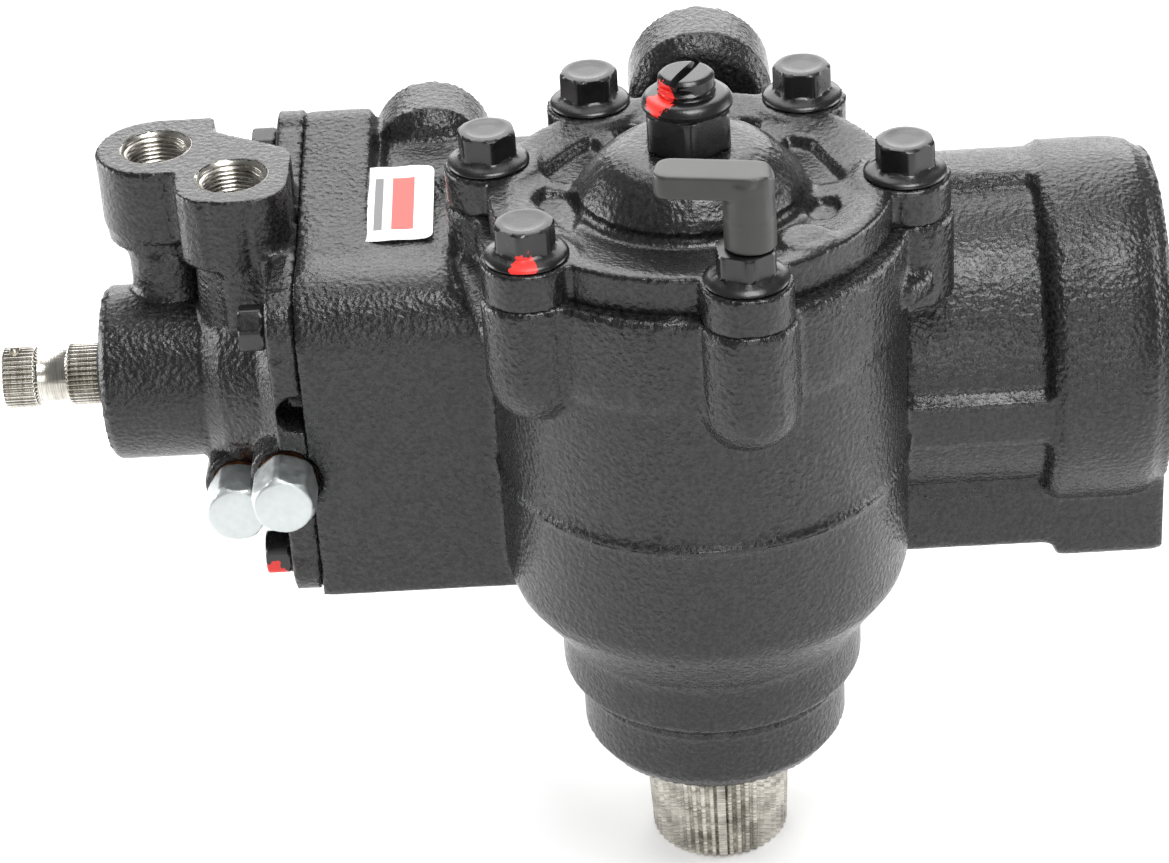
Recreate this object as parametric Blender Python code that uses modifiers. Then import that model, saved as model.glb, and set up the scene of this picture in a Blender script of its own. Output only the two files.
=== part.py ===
"""Power steering gearbox of the recirculating-ball kind, as an assembly of its real pieces.

Units are metres and +Z is up. The sector shaft stands upright, the rack and the input shaft
lie along X, and the frame rail that carries the box is the plane y = 0 behind it. The level
z = 0 is the rack's axis.
"""

from math import acos
from math import atan2
from math import cos
from math import degrees
from math import hypot
from math import pi
from math import radians
from math import sin
from math import sqrt
from math import tan

import bmesh
import bpy
import numpy as np

# Clearances between pieces that touch, turn or slide on each other.
GAP = 0.0003
FINE_GAP = 0.0001
OVERLAP = 0.002

# Turns that lay a shape's own Z axis along X or along Y.
ALONG_X = (0, pi / 2, 0)
ALONG_Y = (-pi / 2, 0, 0)

# Sides of round shapes, by size.
LARGE_SIDES = 28
MEDIUM_SIDES = 24
SMALL_SIDES = 16
FINE_SIDES = 12

# Gear set: a three-toothed sector on a four-toothed rack, moved by a ball worm.
SECTOR_Y = -0.120
MODULE = 0.008
FULL_CIRCLE_TEETH = 8
PRESSURE_ANGLE = radians(25)
TOOTH_ADDENDUM = 0.0055
TIP_CLEARANCE = 0.0009
BACKLASH = 0.0004
SECTOR_SWING = 40
RACK_PITCH_OFFSET = 0.022
GEAR_RATIO = 16
SECTOR_FACE = 0.060
PITCH_R = MODULE * FULL_CIRCLE_TEETH / 2
RACK_Y = SECTOR_Y + PITCH_R + RACK_PITCH_OFFSET
LEAD = 2 * pi * PITCH_R / GEAR_RATIO

# Rack piston and the cylinder it slides in.
BORE_R = 0.044
RACK_LENGTH = 0.170
RACK_TEETH = 4
RACK_TOOTH_MARGIN = 0.003469
RACK_TOOTH_SPAN = RACK_TEETH * pi * MODULE + RACK_TOOTH_MARGIN
PISTON_RING_WIDTH = 0.003
PISTON_RING_DEPTH = 0.0035

# Ball worm.
BALL_R = 0.0030
BALL_CIRCLE_R = 0.0108
GROOVE_PLAY = 0.00035
WORM_R = 0.0103
NUT_BORE_R = 0.0113
WORM_END_X = 0.022
BALLS_SHOWN = 6
RETURN_FIRST_X = -LEAD * 4
RETURN_LAST_X = -LEAD
RETURN_TUBE_R = 0.0038
RETURN_FLOOR = 0.0265
CLAMP_THICK = 0.0025
CLAMP_SCREW_R = 0.0020
CLAMP_SCREW_GRIP = 0.007
CLAMP_SCREW_SPREAD = 0.015

# Sector shaft and what carries it.
JOURNAL_R = 0.0254
TRUNNION_R = 0.019
TRUNNION_TOP_Z = 0.079
CAVITY_R = 0.0405
NEEDLE_WALL = 0.005
NEEDLE_TOP_Z = -0.042
NEEDLE_LENGTH = 0.046
SEAL_WALL = 0.0085
SEAL_LENGTH = 0.008
BACKUP_THICK = 0.002
SNAP_RING_WIDTH = 0.0022
SNAP_RING_DEPTH = 0.0030
DUST_SEAL_LENGTH = 0.010
SERRATION_TOP_R = 0.0247
SERRATION_END_R = 0.0230
SERRATION_DEPTH = 0.0012
SERRATION_COUNT = 36
SERRATION_LENGTH = 0.042
SHAFT_END_Z = -0.160

# Main housing, round the sector shaft.
BARREL_R = 0.066
BARREL_FOOT_Z = -0.047
SECOND_BOSS_R = 0.0498
SECOND_BOSS_Z = -0.068
THIRD_BOSS_R = 0.044
THIRD_BOSS_Z = -0.091
HOUSING_FOOT_Z = -0.116
PARTING_Z = -0.006
PARTING_RIDGE = 0.0013
HOUSING_TOP_Z = 0.079

# Cover, bolted down round a star of lobes.
COVER_THICK = 0.0087
STAR_SHIFT_Y = 0.0015
BOLT_CIRCLE_R = 0.0662
BOLT_ANGLES = (162, 117.5, 55, -2, -140)
VENT_ANGLE = -77.7
LOBE_R = 0.0142
HOUSING_LOBE_STEP = 0.0008
LOBE_COLUMN_FOOT = (0.044, 0.044, 0.044, 0.040, 0.045)
VENT_COLUMN_FOOT = 0.039
DOME_R = 0.0358
DOME_TOP_Z = 0.1014
BLANK_PAD_R = 0.0078
BLANK_PAD_ANGLE = -50.5
BLANK_PAD_CIRCLE_R = 0.0514
BLANK_PAD_HEIGHT = 0.0008
SPIGOT_DEPTH = 0.022
BUSH_WALL = 0.0027
BUSH_LENGTH = 0.018
COVER_POCKET_DEPTH = 0.006
COVER_POCKET_ROUND_R = 0.0035
COVER_POCKET_WALL = 0.0045
ROUND_POCKETS = (
    (-170, 0.0425, 0.0055),
    (-22, 0.0425, 0.0045),
    (106, 0.0480, 0.0045),
    (66, 0.0480, 0.0045),
)
COVER_SEAL_Z = 0.0700
SEAL_CORD_R = 0.0014

# Adjuster of the sector shaft's end play.
ADJUSTER_R = 0.009
ADJUSTER_HEAD_R = 0.0118
ADJUSTER_HEAD_THICK = 0.005
ADJUSTER_POCKET_DEPTH = 0.0090
ADJUSTER_TOP_Z = 0.1265
LOCK_NUT_FLATS = 0.0254
LOCK_NUT_HEIGHT = 0.0172
LOCK_NUT_COLLAR_R = 0.0143

# Cover bolts.
BOLT_SHANK_R = 0.006
BOLT_FLANGE_R = 0.013
BOLT_FLATS = 0.017
BOLT_HEAD_HEIGHT = 0.0115
BOLT_FLANGE_THICK = 0.0028
BOLT_GRIP = 0.026

# Vent fitting, which holds the cover down in a bolt's place.
VENT_STEM_R = 0.0075
VENT_ARM_LENGTH = 0.026
VENT_ARM_HEIGHT = 0.0092
VENT_TOP_Z = 0.1275
VENT_HEX_TOP_Z = 0.0985

# Rack cylinder and its end plug, at +X.
CYLINDER_R = 0.055
CYLINDER_RIB_R = 0.059
BAND_R = 0.061
BAND_X = 0.115
CYLINDER_END_X = 0.148
END_DISC_X = 0.152
PLUG_SEAT_X = 0.1185
PLUG_THICK = 0.014
PLUG_STEP = 0.003
END_RING_WIDTH = 0.003
PLUG_HOLE_R = 0.004
PLUG_HOLE_DEPTH = 0.010
FOOT_FRONT_Y = -0.107
FOOT_Z = -0.064
END_FOOT_Z = -0.0695
FOOT_ROUND_R = 0.004
END_FOOT_ROUND_R = 0.005
FOOT_START_X = 0.020

# Square block of the housing, at -X, that takes the valve housing.
JOINT_X = -0.1275
BLOCK_FRONT_Y = -0.124
BLOCK_BACK_Y = -0.008
BLOCK_TOP_Z = 0.055
BLOCK_FOOT_Z = -0.058
BLOCK_ROUND_R = 0.020
BLOCK_EDGE_ROUNDS = (0.003, 0.012, 0.010)
BLOCK_INNER_X = -0.030
FLANGE_BACK_X = -0.1045

# Bosses on the frame rail.
MOUNT_HOLE_R = 0.0070
MOUNT_HOLE_DEPTH = 0.024
UPPER_MOUNT = (0.006, 0.0685)
LEFT_MOUNT = (-0.086, 0.0505)
LOWER_LEFT_MOUNT = (-0.070, -0.040)
LOWER_RIGHT_MOUNT = (0.094, -0.042)
UPPER_MOUNT_R = 0.0243
SIDE_MOUNT_R = 0.0200
MOUNT_BOSS_LENGTH = 0.028

# Valve housing.
NOSE_R = 0.0295
NOSE_REACH = 0.0695
NOSE_X = JOINT_X - NOSE_REACH
NOSE_END_X = -0.163
VALVE_FLANGE_THICK = 0.0095
VALVE_BOLT_PLACES = ((-0.110, 0.039), (-0.111, -0.046), (-0.020, 0.057), (-0.022, -0.046))
VALVE_LOBE_R = 0.0130
VALVE_BOLT_R = 0.005
VALVE_BOLT_FLATS = 0.0140
VALVE_BOLT_HEAD = 0.0085
VALVE_BOLT_GRIP = 0.030
VALVE_SPIGOT = 0.0085
SPIGOT_LIP = 0.0020
SLEEVE_R = 0.0185
SLEEVE_LENGTH = 0.044
WORM_HEAD_R = 0.0235
WORM_HEAD_THICK = 0.0055
BEARING_THICK = 0.0045
BEARING_R = 0.0255
RETAINER_THICK = 0.006
SPANNER_NOTCH_DEPTH = 0.0025
SPANNER_NOTCH_WIDTH = 0.004

# Ports for the hydraulic lines, in a block on the valve housing.
PORT_TOP_Z = 0.076
PORT_RETURN = (-0.1745, -0.051)
PORT_SUPPLY = (-0.1475, -0.075)
PORT_R = 0.0103
PORT_CHAMFER_R = 0.0120
PORT_DEPTH = 0.024
PORT_WAY_R = 0.0035
RETURN_LOBE_R = 0.020
SUPPLY_LOBE_R = 0.019
RETURN_LOBE_Z = 0.043
SUPPLY_LOBE_Z = 0.050
PORT_BLOCK_SHOULDER = 0.017
PORT_BLOCK_BACK_X = -0.156
RETURN_NECK_SHIFT = (0.001, -0.007)
SPOT_FACE_DEPTH = 0.020
SPOT_FACE_SHARE = 0.62
CASTING_NOTCH_R = 0.0065
CASTING_NOTCH_Z = 0.013
CASTING_NOTCH_Y = (-0.140, -0.108)
NECK_R = 0.0135

# Zinc-plated hexagon plugs.
PLUG_FLATS = 0.0190
PLUG_HEIGHT = 0.017
PLUG_THREAD_R = 0.0070
PLUG_THREAD_LENGTH = 0.009
PLUG_BOSS_R = 0.0120
PLUG_WASHER_THICK = 0.0016
FRONT_PLUG = (-0.1355, -0.0117)
FRONT_PLUG_SEAT_Y = -0.1195
REAR_PLUG = (-0.1535, -0.0255)
REAR_PLUG_SEAT_Y = -0.1010

# Input shaft.
INPUT_R = 0.01032
INPUT_END_X = -0.233
INPUT_SERRATIONS = 36
INPUT_SERRATION_DEPTH = 0.0009
CLAMP_GROOVE = (-0.2215, -0.211)
CLAMP_GROOVE_DEPTH = 0.0018
SERRATION_INNER_X = -0.2005
TORSION_BAR_R = 0.0032
TORSION_BAR_PLAY = 0.0008
CROSS_PIN_R = 0.0020
CROSS_PIN_X = -0.2285
DUST_RING_R = 0.014
DUST_RING_THICK = 0.003
INPUT_SEAL_INSET = 0.0015
INPUT_SEAL_LENGTH = 0.005
INPUT_BEARING_LENGTH = 0.0076
INPUT_BEARING_WALL = 0.0042

parts = None
cutters = None


def srgb_to_linear(value):
    """One sRGB channel from 0 to 1 as linear light."""
    if value <= 0.04045:
        return value / 12.92
    return ((value + 0.055) / 1.055) ** 2.4


def make_material(name, hex_colour, roughness, metallic):
    """A Principled material from an sRGB hex colour."""
    material = bpy.data.materials.new(name)
    material.use_nodes = True
    shader = material.node_tree.nodes["Principled BSDF"]
    channels = [int(hex_colour[i : i + 2], 16) / 255 for i in (0, 2, 4)]
    colour = [srgb_to_linear(channel) for channel in channels]
    shader.inputs["Base Color"].default_value = (*colour, 1)
    shader.inputs["Roughness"].default_value = roughness
    shader.inputs["Metallic"].default_value = metallic
    material.diffuse_color = (*colour, 1)
    return material


def start_scene():
    """Empties the scene and makes the two collections."""
    global parts, cutters
    for old in list(bpy.data.objects):
        bpy.data.objects.remove(old, do_unlink=True)
    parts = bpy.data.collections.new("steering_gearbox")
    cutters = bpy.data.collections.new("cutters")
    bpy.context.scene.collection.children.link(parts)
    bpy.context.scene.collection.children.link(cutters)
    cutters.hide_render = True


def place(name, mesh, at=(0, 0, 0), turn=(0, 0, 0)):
    """A new object in the cutters' collection, hidden from renders until it is finished."""
    made = bpy.data.objects.new(name, mesh)
    made.location = at
    made.rotation_euler = turn
    made.hide_render = True
    made.display_type = "WIRE"
    cutters.objects.link(made)
    return made


def bake(made):
    """The object with its modifiers applied, as a mesh."""
    bpy.context.view_layer.update()
    graph = bpy.context.evaluated_depsgraph_get()
    mesh = bpy.data.meshes.new_from_object(made.evaluated_get(graph))
    made.modifiers.clear()
    old = made.data
    made.data = mesh
    if old.users == 0 and isinstance(old, bpy.types.Mesh):
        bpy.data.meshes.remove(old)
    return made


def finish(made, material, parent=None):
    """Bakes the object, with its flat faces merged, and moves it to the parts."""
    flat = made.modifiers.new("flat_faces", "DECIMATE")
    flat.decimate_type = "DISSOLVE"
    flat.angle_limit = radians(0.3)
    bake(made)
    cutters.objects.unlink(made)
    parts.objects.link(made)
    made.hide_render = False
    made.display_type = "TEXTURED"
    made.data.materials.clear()
    made.data.materials.append(material)
    made.data.shade_smooth()
    made.data.set_sharp_from_angle(angle=radians(30))
    if parent is not None:
        bpy.context.view_layer.update()
        made.parent = parent
        made.matrix_parent_inverse = parent.matrix_world.inverted()
    return made


def copy_of(made, name, at, turn=(0, 0, 0)):
    """Another object on the same mesh."""
    other = bpy.data.objects.new(name, made.data)
    other.location = at
    other.rotation_euler = turn
    parts.objects.link(other)
    return other


def axis_empty(name, at):
    """An empty on a joint's axis."""
    empty = bpy.data.objects.new(name, None)
    empty.location = at
    empty.empty_display_size = 0.02
    parts.objects.link(empty)
    return empty


def boolean(made, other, operation):
    """Adds a Boolean modifier with another object."""
    modifier = made.modifiers.new(operation.lower(), "BOOLEAN")
    modifier.operation = operation
    modifier.object = other
    modifier.solver = "EXACT"


def join(made, *others):
    for other in others:
        boolean(made, other, "UNION")


def cut(made, *others):
    for other in others:
        boolean(made, other, "DIFFERENCE")


def turned(name, profile, steps=MEDIUM_SIDES, at=(0, 0, 0), turn=(0, 0, 0)):
    """A profile of (radius, height) points, top to bottom, turned about its Z axis.

    A profile that starts and ends on the axis gives a solid body. Any other is closed to a
    ring, so its last points run up the inner side.
    """
    solid = profile[0][0] == 0 and profile[-1][0] == 0
    mesh = bpy.data.meshes.new(name)
    points = [(r, 0, z) for r, z in profile]
    edges = [(i, i + 1) for i in range(len(points) - 1)]
    if not solid:
        edges.append((len(points) - 1, 0))
    mesh.from_pydata(points, edges, [])
    made = place(name, mesh, at, turn)
    screw = made.modifiers.new("turn", "SCREW")
    screw.axis = "Z"
    screw.steps = steps
    screw.render_steps = steps
    screw.use_merge_vertices = True
    screw.merge_threshold = 0.00001
    return bake(made)


def turned_on_rack_axis(name, profile, steps=MEDIUM_SIDES):
    """As turned, with heights along X, given from right to left, about the rack's axis."""
    return turned(name, profile, steps, (0, RACK_Y, 0), ALONG_X)


def cylinder(name, radius, low, high, at=(0, 0, 0), turn=(0, 0, 0), segments=SMALL_SIDES):
    """A cylinder between two heights on its own Z axis."""
    form = bmesh.new()
    bmesh.ops.create_cone(
        form, cap_ends=True, segments=segments, radius1=radius, radius2=radius, depth=high - low
    )
    bmesh.ops.translate(form, vec=(0, 0, (low + high) / 2), verts=form.verts)
    mesh = bpy.data.meshes.new(name)
    form.to_mesh(mesh)
    form.free()
    return place(name, mesh, at, turn)


def ball(name, radius, at, segments=FINE_SIDES):
    """A sphere."""
    form = bmesh.new()
    bmesh.ops.create_uvsphere(form, u_segments=segments, v_segments=segments // 2, radius=radius)
    mesh = bpy.data.meshes.new(name)
    form.to_mesh(mesh)
    form.free()
    return place(name, mesh, at)


def box(name, low, high, round_edges=0):
    """A box between two corners, with its edges rounded where that is asked for."""
    form = bmesh.new()
    bmesh.ops.create_cube(form, size=1)
    size = [high[i] - low[i] for i in range(3)]
    middle = [(high[i] + low[i]) / 2 for i in range(3)]
    bmesh.ops.scale(form, vec=size, verts=form.verts)
    bmesh.ops.translate(form, vec=middle, verts=form.verts)
    mesh = bpy.data.meshes.new(name)
    form.to_mesh(mesh)
    form.free()
    made = place(name, mesh)
    if round_edges:
        bevel = made.modifiers.new("round", "BEVEL")
        bevel.width = round_edges
        bevel.segments = 3
        bake(made)
    return made


def extruded(name, outline, low, high, at=(0, 0, 0), turn=(0, 0, 0)):
    """A flat closed outline, as a filled 2D curve, given its thickness along its own Z axis."""
    curve = bpy.data.curves.new(name, "CURVE")
    curve.dimensions = "2D"
    curve.fill_mode = "BOTH"
    curve.extrude = (high - low) / 2
    spline = curve.splines.new("POLY")
    spline.points.add(len(outline) - 1)
    for point, (x, y) in zip(spline.points, outline):
        point.co = (x, y, 0, 1)
    spline.use_cyclic_u = True
    guide = place(name + "_outline", curve)
    bpy.context.view_layer.update()
    graph = bpy.context.evaluated_depsgraph_get()
    mesh = bpy.data.meshes.new_from_object(guide.evaluated_get(graph))
    bpy.data.objects.remove(guide, do_unlink=True)
    form = bmesh.new()
    form.from_mesh(mesh)
    bmesh.ops.remove_doubles(form, verts=form.verts, dist=0.000002)
    bmesh.ops.translate(form, vec=(0, 0, (low + high) / 2), verts=form.verts)
    bmesh.ops.recalc_face_normals(form, faces=form.faces)
    form.to_mesh(mesh)
    form.free()
    mesh.name = name
    return place(name, mesh, at, turn)


def tapered(made, low, high, low_scale, high_scale):
    """Scales an extruded object's section evenly from one end to the other."""
    for vertex in made.data.vertices:
        share = (vertex.co.z - low) / (high - low)
        scale = low_scale + (high_scale - low_scale) * share
        vertex.co.x *= scale
        vertex.co.y *= scale
    return made


def section_along_x(name, outline, low, high):
    """Extrudes an outline of (y, z) points along X."""
    turned_outline = [(-z, y) for y, z in outline]
    return extruded(name, turned_outline, low, high, (0, 0, 0), ALONG_X)


def arc(centre, radius, start, end, steps):
    """Points on an arc, angles in degrees."""
    angles = np.radians(np.linspace(start, end, steps + 1))
    return [(centre[0] + radius * cos(a), centre[1] + radius * sin(a)) for a in angles]


def belt(centres, radii, steps=6):
    """The outline of a belt round circles that are listed anticlockwise."""
    count = len(centres)
    leave = []
    for i in range(count):
        (x0, y0), (x1, y1) = centres[i], centres[(i + 1) % count]
        span = hypot(x1 - x0, y1 - y0)
        lean = acos((radii[i] - radii[(i + 1) % count]) / span)
        leave.append(atan2(y1 - y0, x1 - x0) - lean)
    outline = []
    for i in range(count):
        start, end = leave[i - 1], leave[i]
        while end < start - 1e-9:
            end += 2 * pi
        outline += arc(centres[i], radii[i], degrees(start), degrees(end), steps)
    return outline


def rounded(corners, radii, steps=4):
    """A polygon with each corner rounded to its own radius, in its own winding."""
    outline = []
    count = len(corners)
    for i, radius in enumerate(radii):
        here = np.array(corners[i], float)
        before = np.array(corners[i - 1], float) - here
        after = np.array(corners[(i + 1) % count], float) - here
        if radius == 0:
            outline.append(tuple(here))
            continue
        before /= np.linalg.norm(before)
        after /= np.linalg.norm(after)
        half = acos(np.clip(before @ after, -1, 1)) / 2
        bisector = (before + after) / np.linalg.norm(before + after)
        centre = here + bisector * radius / sin(half)
        first = here + before * radius / tan(half) - centre
        last = here + after * radius / tan(half) - centre
        start = atan2(first[1], first[0])
        sweep = (atan2(last[1], last[0]) - start + pi) % (2 * pi) - pi
        for step in range(steps + 1):
            angle = start + sweep * step / steps
            outline.append((centre[0] + radius * cos(angle), centre[1] + radius * sin(angle)))
    return outline


def hexagon(flats):
    """A hexagon of a given width over its flats, with a corner towards -Y."""
    return [(flats / sqrt(3) * cos(a), flats / sqrt(3) * sin(a)) for a in np.radians(np.arange(-90, 270, 60))]


def hex_head(name, flats, low, high, chamfer):
    """A hexagon with its upper corners turned off to a cone."""
    head = extruded(name, hexagon(flats), low, high)
    corner = flats / sqrt(3)
    shape = turned(
        name + "_chamfer",
        [
            (0, high + FINE_GAP),
            (flats / 2 - chamfer / 2, high + FINE_GAP),
            (corner + OVERLAP, high - (corner - flats / 2) * tan(radians(30)) - chamfer),
            (corner + OVERLAP, low - OVERLAP),
            (0, low - OVERLAP),
        ],
        FINE_SIDES,
    )
    boolean(head, shape, "INTERSECT")
    return bake(head)


def polar(radius, angle, shift_y=0):
    """A point round the sector shaft's axis, from a radius and an angle in degrees."""
    return (radius * cos(radians(angle)), radius * sin(radians(angle)) + shift_y)


def star_points():
    """Bolt places on the cover, from its own centre, anticlockwise from the right."""
    places = {angle: polar(BOLT_CIRCLE_R, angle, STAR_SHIFT_Y) for angle in BOLT_ANGLES}
    places[VENT_ANGLE] = polar(BOLT_CIRCLE_R, VENT_ANGLE, STAR_SHIFT_Y)
    return [places[angle] for angle in sorted(places)]


def star_outline(lobe_r):
    """The cover's outline: lobes round the bolts with straight edges between."""
    points = star_points()
    return belt(points, [lobe_r] * len(points), 5)


def involute(angle):
    return tan(angle) - angle


def sector_outline():
    """Three involute teeth on a round shaft, with the middle tooth towards +Y."""
    base_r = PITCH_R * cos(PRESSURE_ANGLE)
    tip_r = PITCH_R + TOOTH_ADDENDUM
    root_r = PITCH_R - TOOTH_ADDENDUM - TIP_CLEARANCE
    pitch_half = (pi * MODULE / 2 - BACKLASH / 2) / 2 / PITCH_R
    radii = np.linspace(base_r, tip_r, 4)
    halves = [
        pitch_half + involute(PRESSURE_ANGLE) - involute(acos(min(1, base_r / r))) for r in radii
    ]
    flank = [(root_r, halves[0])] + list(zip(radii, halves))
    step = 2 * pi / FULL_CIRCLE_TEETH
    outline = []
    for tooth in (-1, 0, 1):
        middle = pi / 2 + tooth * step
        outline += [(r * cos(middle - h), r * sin(middle - h)) for r, h in flank]
        outline.append((tip_r * cos(middle), tip_r * sin(middle)))
        outline += [(r * cos(middle + h), r * sin(middle + h)) for r, h in reversed(flank)]
        start = middle + flank[0][1]
        end = middle + step - flank[0][1]
        if tooth == 1:
            end = pi / 2 - step - flank[0][1] + 2 * pi
        count = max(2, round(degrees(end - start) / 9))
        for angle in np.linspace(start, end, count + 1)[1:-1]:
            outline.append((root_r * cos(angle), root_r * sin(angle)))
    return outline


def star_section(count, outer_r, depth, blank_at=None):
    """A serrated section: a V notch between each pair of crests, with one crest left wide."""
    outline = []
    step = 2 * pi / count
    for i in range(count):
        angle = -pi / 2 + i * step
        outline.append((outer_r * cos(angle), outer_r * sin(angle)))
        inner = outer_r if i == blank_at else outer_r - depth
        middle = angle + step / 2
        outline.append((inner * cos(middle), inner * sin(middle)))
    return outline


def helix_form(name, core_r, path_r, groove_r, low, high, ridge):
    """A screw-shaped body about X: a core with a round groove, or with a round ridge.

    At turn angle t the balls' path crosses x = LEAD * t / (2 pi). Within a groove's
    half-width of that place the surface follows a circle about the path, and elsewhere it
    is the plain core.
    """
    around = 16
    along = round((high - low) / LEAD * 7)
    places = np.linspace(low, high, along + 1)
    angles = np.linspace(0, 2 * pi, around, endpoint=False)
    x_grid, t_grid = np.meshgrid(places, angles, indexing="ij")
    offset = (x_grid - LEAD * t_grid / (2 * pi) + LEAD / 2) % LEAD - LEAD / 2
    half = np.sqrt(np.maximum(groove_r**2 - offset**2, 0))
    if ridge:
        r_grid = np.maximum(core_r, path_r + half)
    else:
        r_grid = np.minimum(core_r, path_r - half)
    points = np.stack([x_grid, r_grid * np.cos(t_grid), r_grid * np.sin(t_grid)], axis=-1)
    form = bmesh.new()
    rings = [[form.verts.new(point) for point in ring] for ring in points]
    for ring, following in zip(rings, rings[1:]):
        for i in range(around):
            j = (i + 1) % around
            form.faces.new((ring[i], ring[j], following[j]))
            form.faces.new((ring[i], following[j], following[i]))
    form.faces.new(rings[0])
    form.faces.new(rings[-1])
    bmesh.ops.recalc_face_normals(form, faces=form.faces)
    mesh = bpy.data.meshes.new(name)
    form.to_mesh(mesh)
    form.free()
    return place(name, mesh, (0, RACK_Y, 0))


def seat_z():
    """Underside of the cover, just over the housing's machined top."""
    return HOUSING_TOP_Z + GAP


def cover_top_z():
    return seat_z() + COVER_THICK


def journal_foot_z():
    """Where the sector shaft's journal ends and its serrations start."""
    return SHAFT_END_Z + SERRATION_LENGTH


def needle_foot_z():
    return NEEDLE_TOP_Z - NEEDLE_LENGTH


def seal_top_z():
    return needle_foot_z() - OVERLAP - GAP


def snap_ring_z():
    """Top of the ring that holds the sector shaft's seal in."""
    return seal_top_z() - SEAL_LENGTH - GAP - BACKUP_THICK - GAP


def needle_outer_r():
    return JOURNAL_R + NEEDLE_WALL


def seal_outer_r():
    return JOURNAL_R + SEAL_WALL


def valve_face_x():
    """Valve housing's joint face, beside the main housing's."""
    return JOINT_X - GAP


def spigot_end_x():
    return valve_face_x() + VALVE_SPIGOT


def retainer_x():
    """Left face of the ring that holds the worm's bearings in."""
    return spigot_end_x() - RETAINER_THICK


def inner_bearing_x():
    return retainer_x() - GAP - BEARING_THICK


def worm_head_x():
    """Left face of the worm's head."""
    return inner_bearing_x() - GAP - WORM_HEAD_THICK


def outer_bearing_x():
    return worm_head_x() - GAP - BEARING_THICK


def sleeve_end_x():
    return worm_head_x() - GAP


def sleeve_start_x():
    return sleeve_end_x() - SLEEVE_LENGTH


def input_bearing_x():
    return NOSE_X + INPUT_SEAL_INSET + INPUT_SEAL_LENGTH + OVERLAP


def rounded_column(name, at, radius, foot, top):
    """An upright column with a round lower end."""
    depth = radius * 0.55
    profile = [(0, top), (radius, top), (radius, foot + depth)]
    for angle in np.radians([30, 60]):
        profile.append((radius * cos(angle), foot + depth - depth * sin(angle)))
    profile.append((0, foot))
    return turned(name, profile, FINE_SIDES, (at[0], SECTOR_Y + at[1], 0))


def cylinder_outline():
    """The rack cylinder across X, as (y, z) points: panels sunk between raised ribs."""
    outline = []
    for start, end, radius in (
        (-60, 95, CYLINDER_RIB_R),
        (97, 174, CYLINDER_R),
        (176, 192, CYLINDER_RIB_R),
        (194, 222, CYLINDER_R),
        (224, 290, CYLINDER_RIB_R),
    ):
        steps = max(2, round((end - start) / 10))
        outline += arc((RACK_Y, 0), radius, start, end, steps)
    return outline


def foot_outline(floor_z, round_r):
    """The square foot under the rack cylinder, across X, as (y, z) points."""
    back_y = -MOUNT_BOSS_LENGTH
    corners = [(FOOT_FRONT_Y, floor_z), (back_y, floor_z), (back_y, 0), (RACK_Y, 0), (FOOT_FRONT_Y, -0.030)]
    return rounded(corners, [round_r, round_r, 0, 0, 0])


def ring_part(name, outer_r, inner_r, low, high, steps=MEDIUM_SIDES, on_rack_axis=False):
    """A plain ring on the sector shaft's axis, or on the rack's."""
    profile = [(outer_r, high), (outer_r, low), (inner_r, low), (inner_r, high)]
    if on_rack_axis:
        return turned_on_rack_axis(name, profile, steps)
    return turned(name, profile, steps, (0, SECTOR_Y, 0))


def seal_cord(name, middle_r, cord_r, at, turn=(0, 0, 0), steps=MEDIUM_SIDES):
    """A round-section sealing ring."""
    profile = [
        (middle_r + cord_r * cos(a), cord_r * sin(a)) for a in np.radians(np.arange(90, -270, -72))
    ]
    return turned(name, profile, steps, at, turn)


def barrel_profile():
    """Outside of the housing round the sector shaft, with the casting's parting ridge."""
    return [
        (0, HOUSING_TOP_Z - OVERLAP),
        (BARREL_R, HOUSING_TOP_Z - OVERLAP),
        (BARREL_R, PARTING_Z + 0.0024),
        (BARREL_R + PARTING_RIDGE, PARTING_Z),
        (BARREL_R, PARTING_Z - 0.0024),
        (BARREL_R, BARREL_FOOT_Z + 0.002),
        (BARREL_R - 0.0015, BARREL_FOOT_Z - 0.003),
        (SECOND_BOSS_R + 0.003, SECOND_BOSS_Z + 0.002),
        (SECOND_BOSS_R, SECOND_BOSS_Z - 0.003),
        (SECOND_BOSS_R, THIRD_BOSS_Z + 0.004),
        (THIRD_BOSS_R, THIRD_BOSS_Z - 0.001),
        (THIRD_BOSS_R, HOUSING_FOOT_Z + 0.004),
        (THIRD_BOSS_R - 0.0040, HOUSING_FOOT_Z),
        (0, HOUSING_FOOT_Z),
    ]


def add_star_walls(housing):
    """The wall and bolt columns that stand under the cover."""
    lobe_r = LOBE_R + HOUSING_LOBE_STEP
    wall = extruded(
        "star_wall", star_outline(lobe_r), min(LOBE_COLUMN_FOOT) + 0.012, HOUSING_TOP_Z, (0, SECTOR_Y, 0)
    )
    join(housing, wall)
    angles = (*BOLT_ANGLES, VENT_ANGLE)
    for angle, foot in zip(angles, (*LOBE_COLUMN_FOOT, VENT_COLUMN_FOOT)):
        column = rounded_column(
            "lobe_column",
            polar(BOLT_CIRCLE_R, angle, STAR_SHIFT_Y),
            lobe_r - FINE_GAP,
            foot,
            HOUSING_TOP_Z - OVERLAP,
        )
        join(housing, column)


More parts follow.
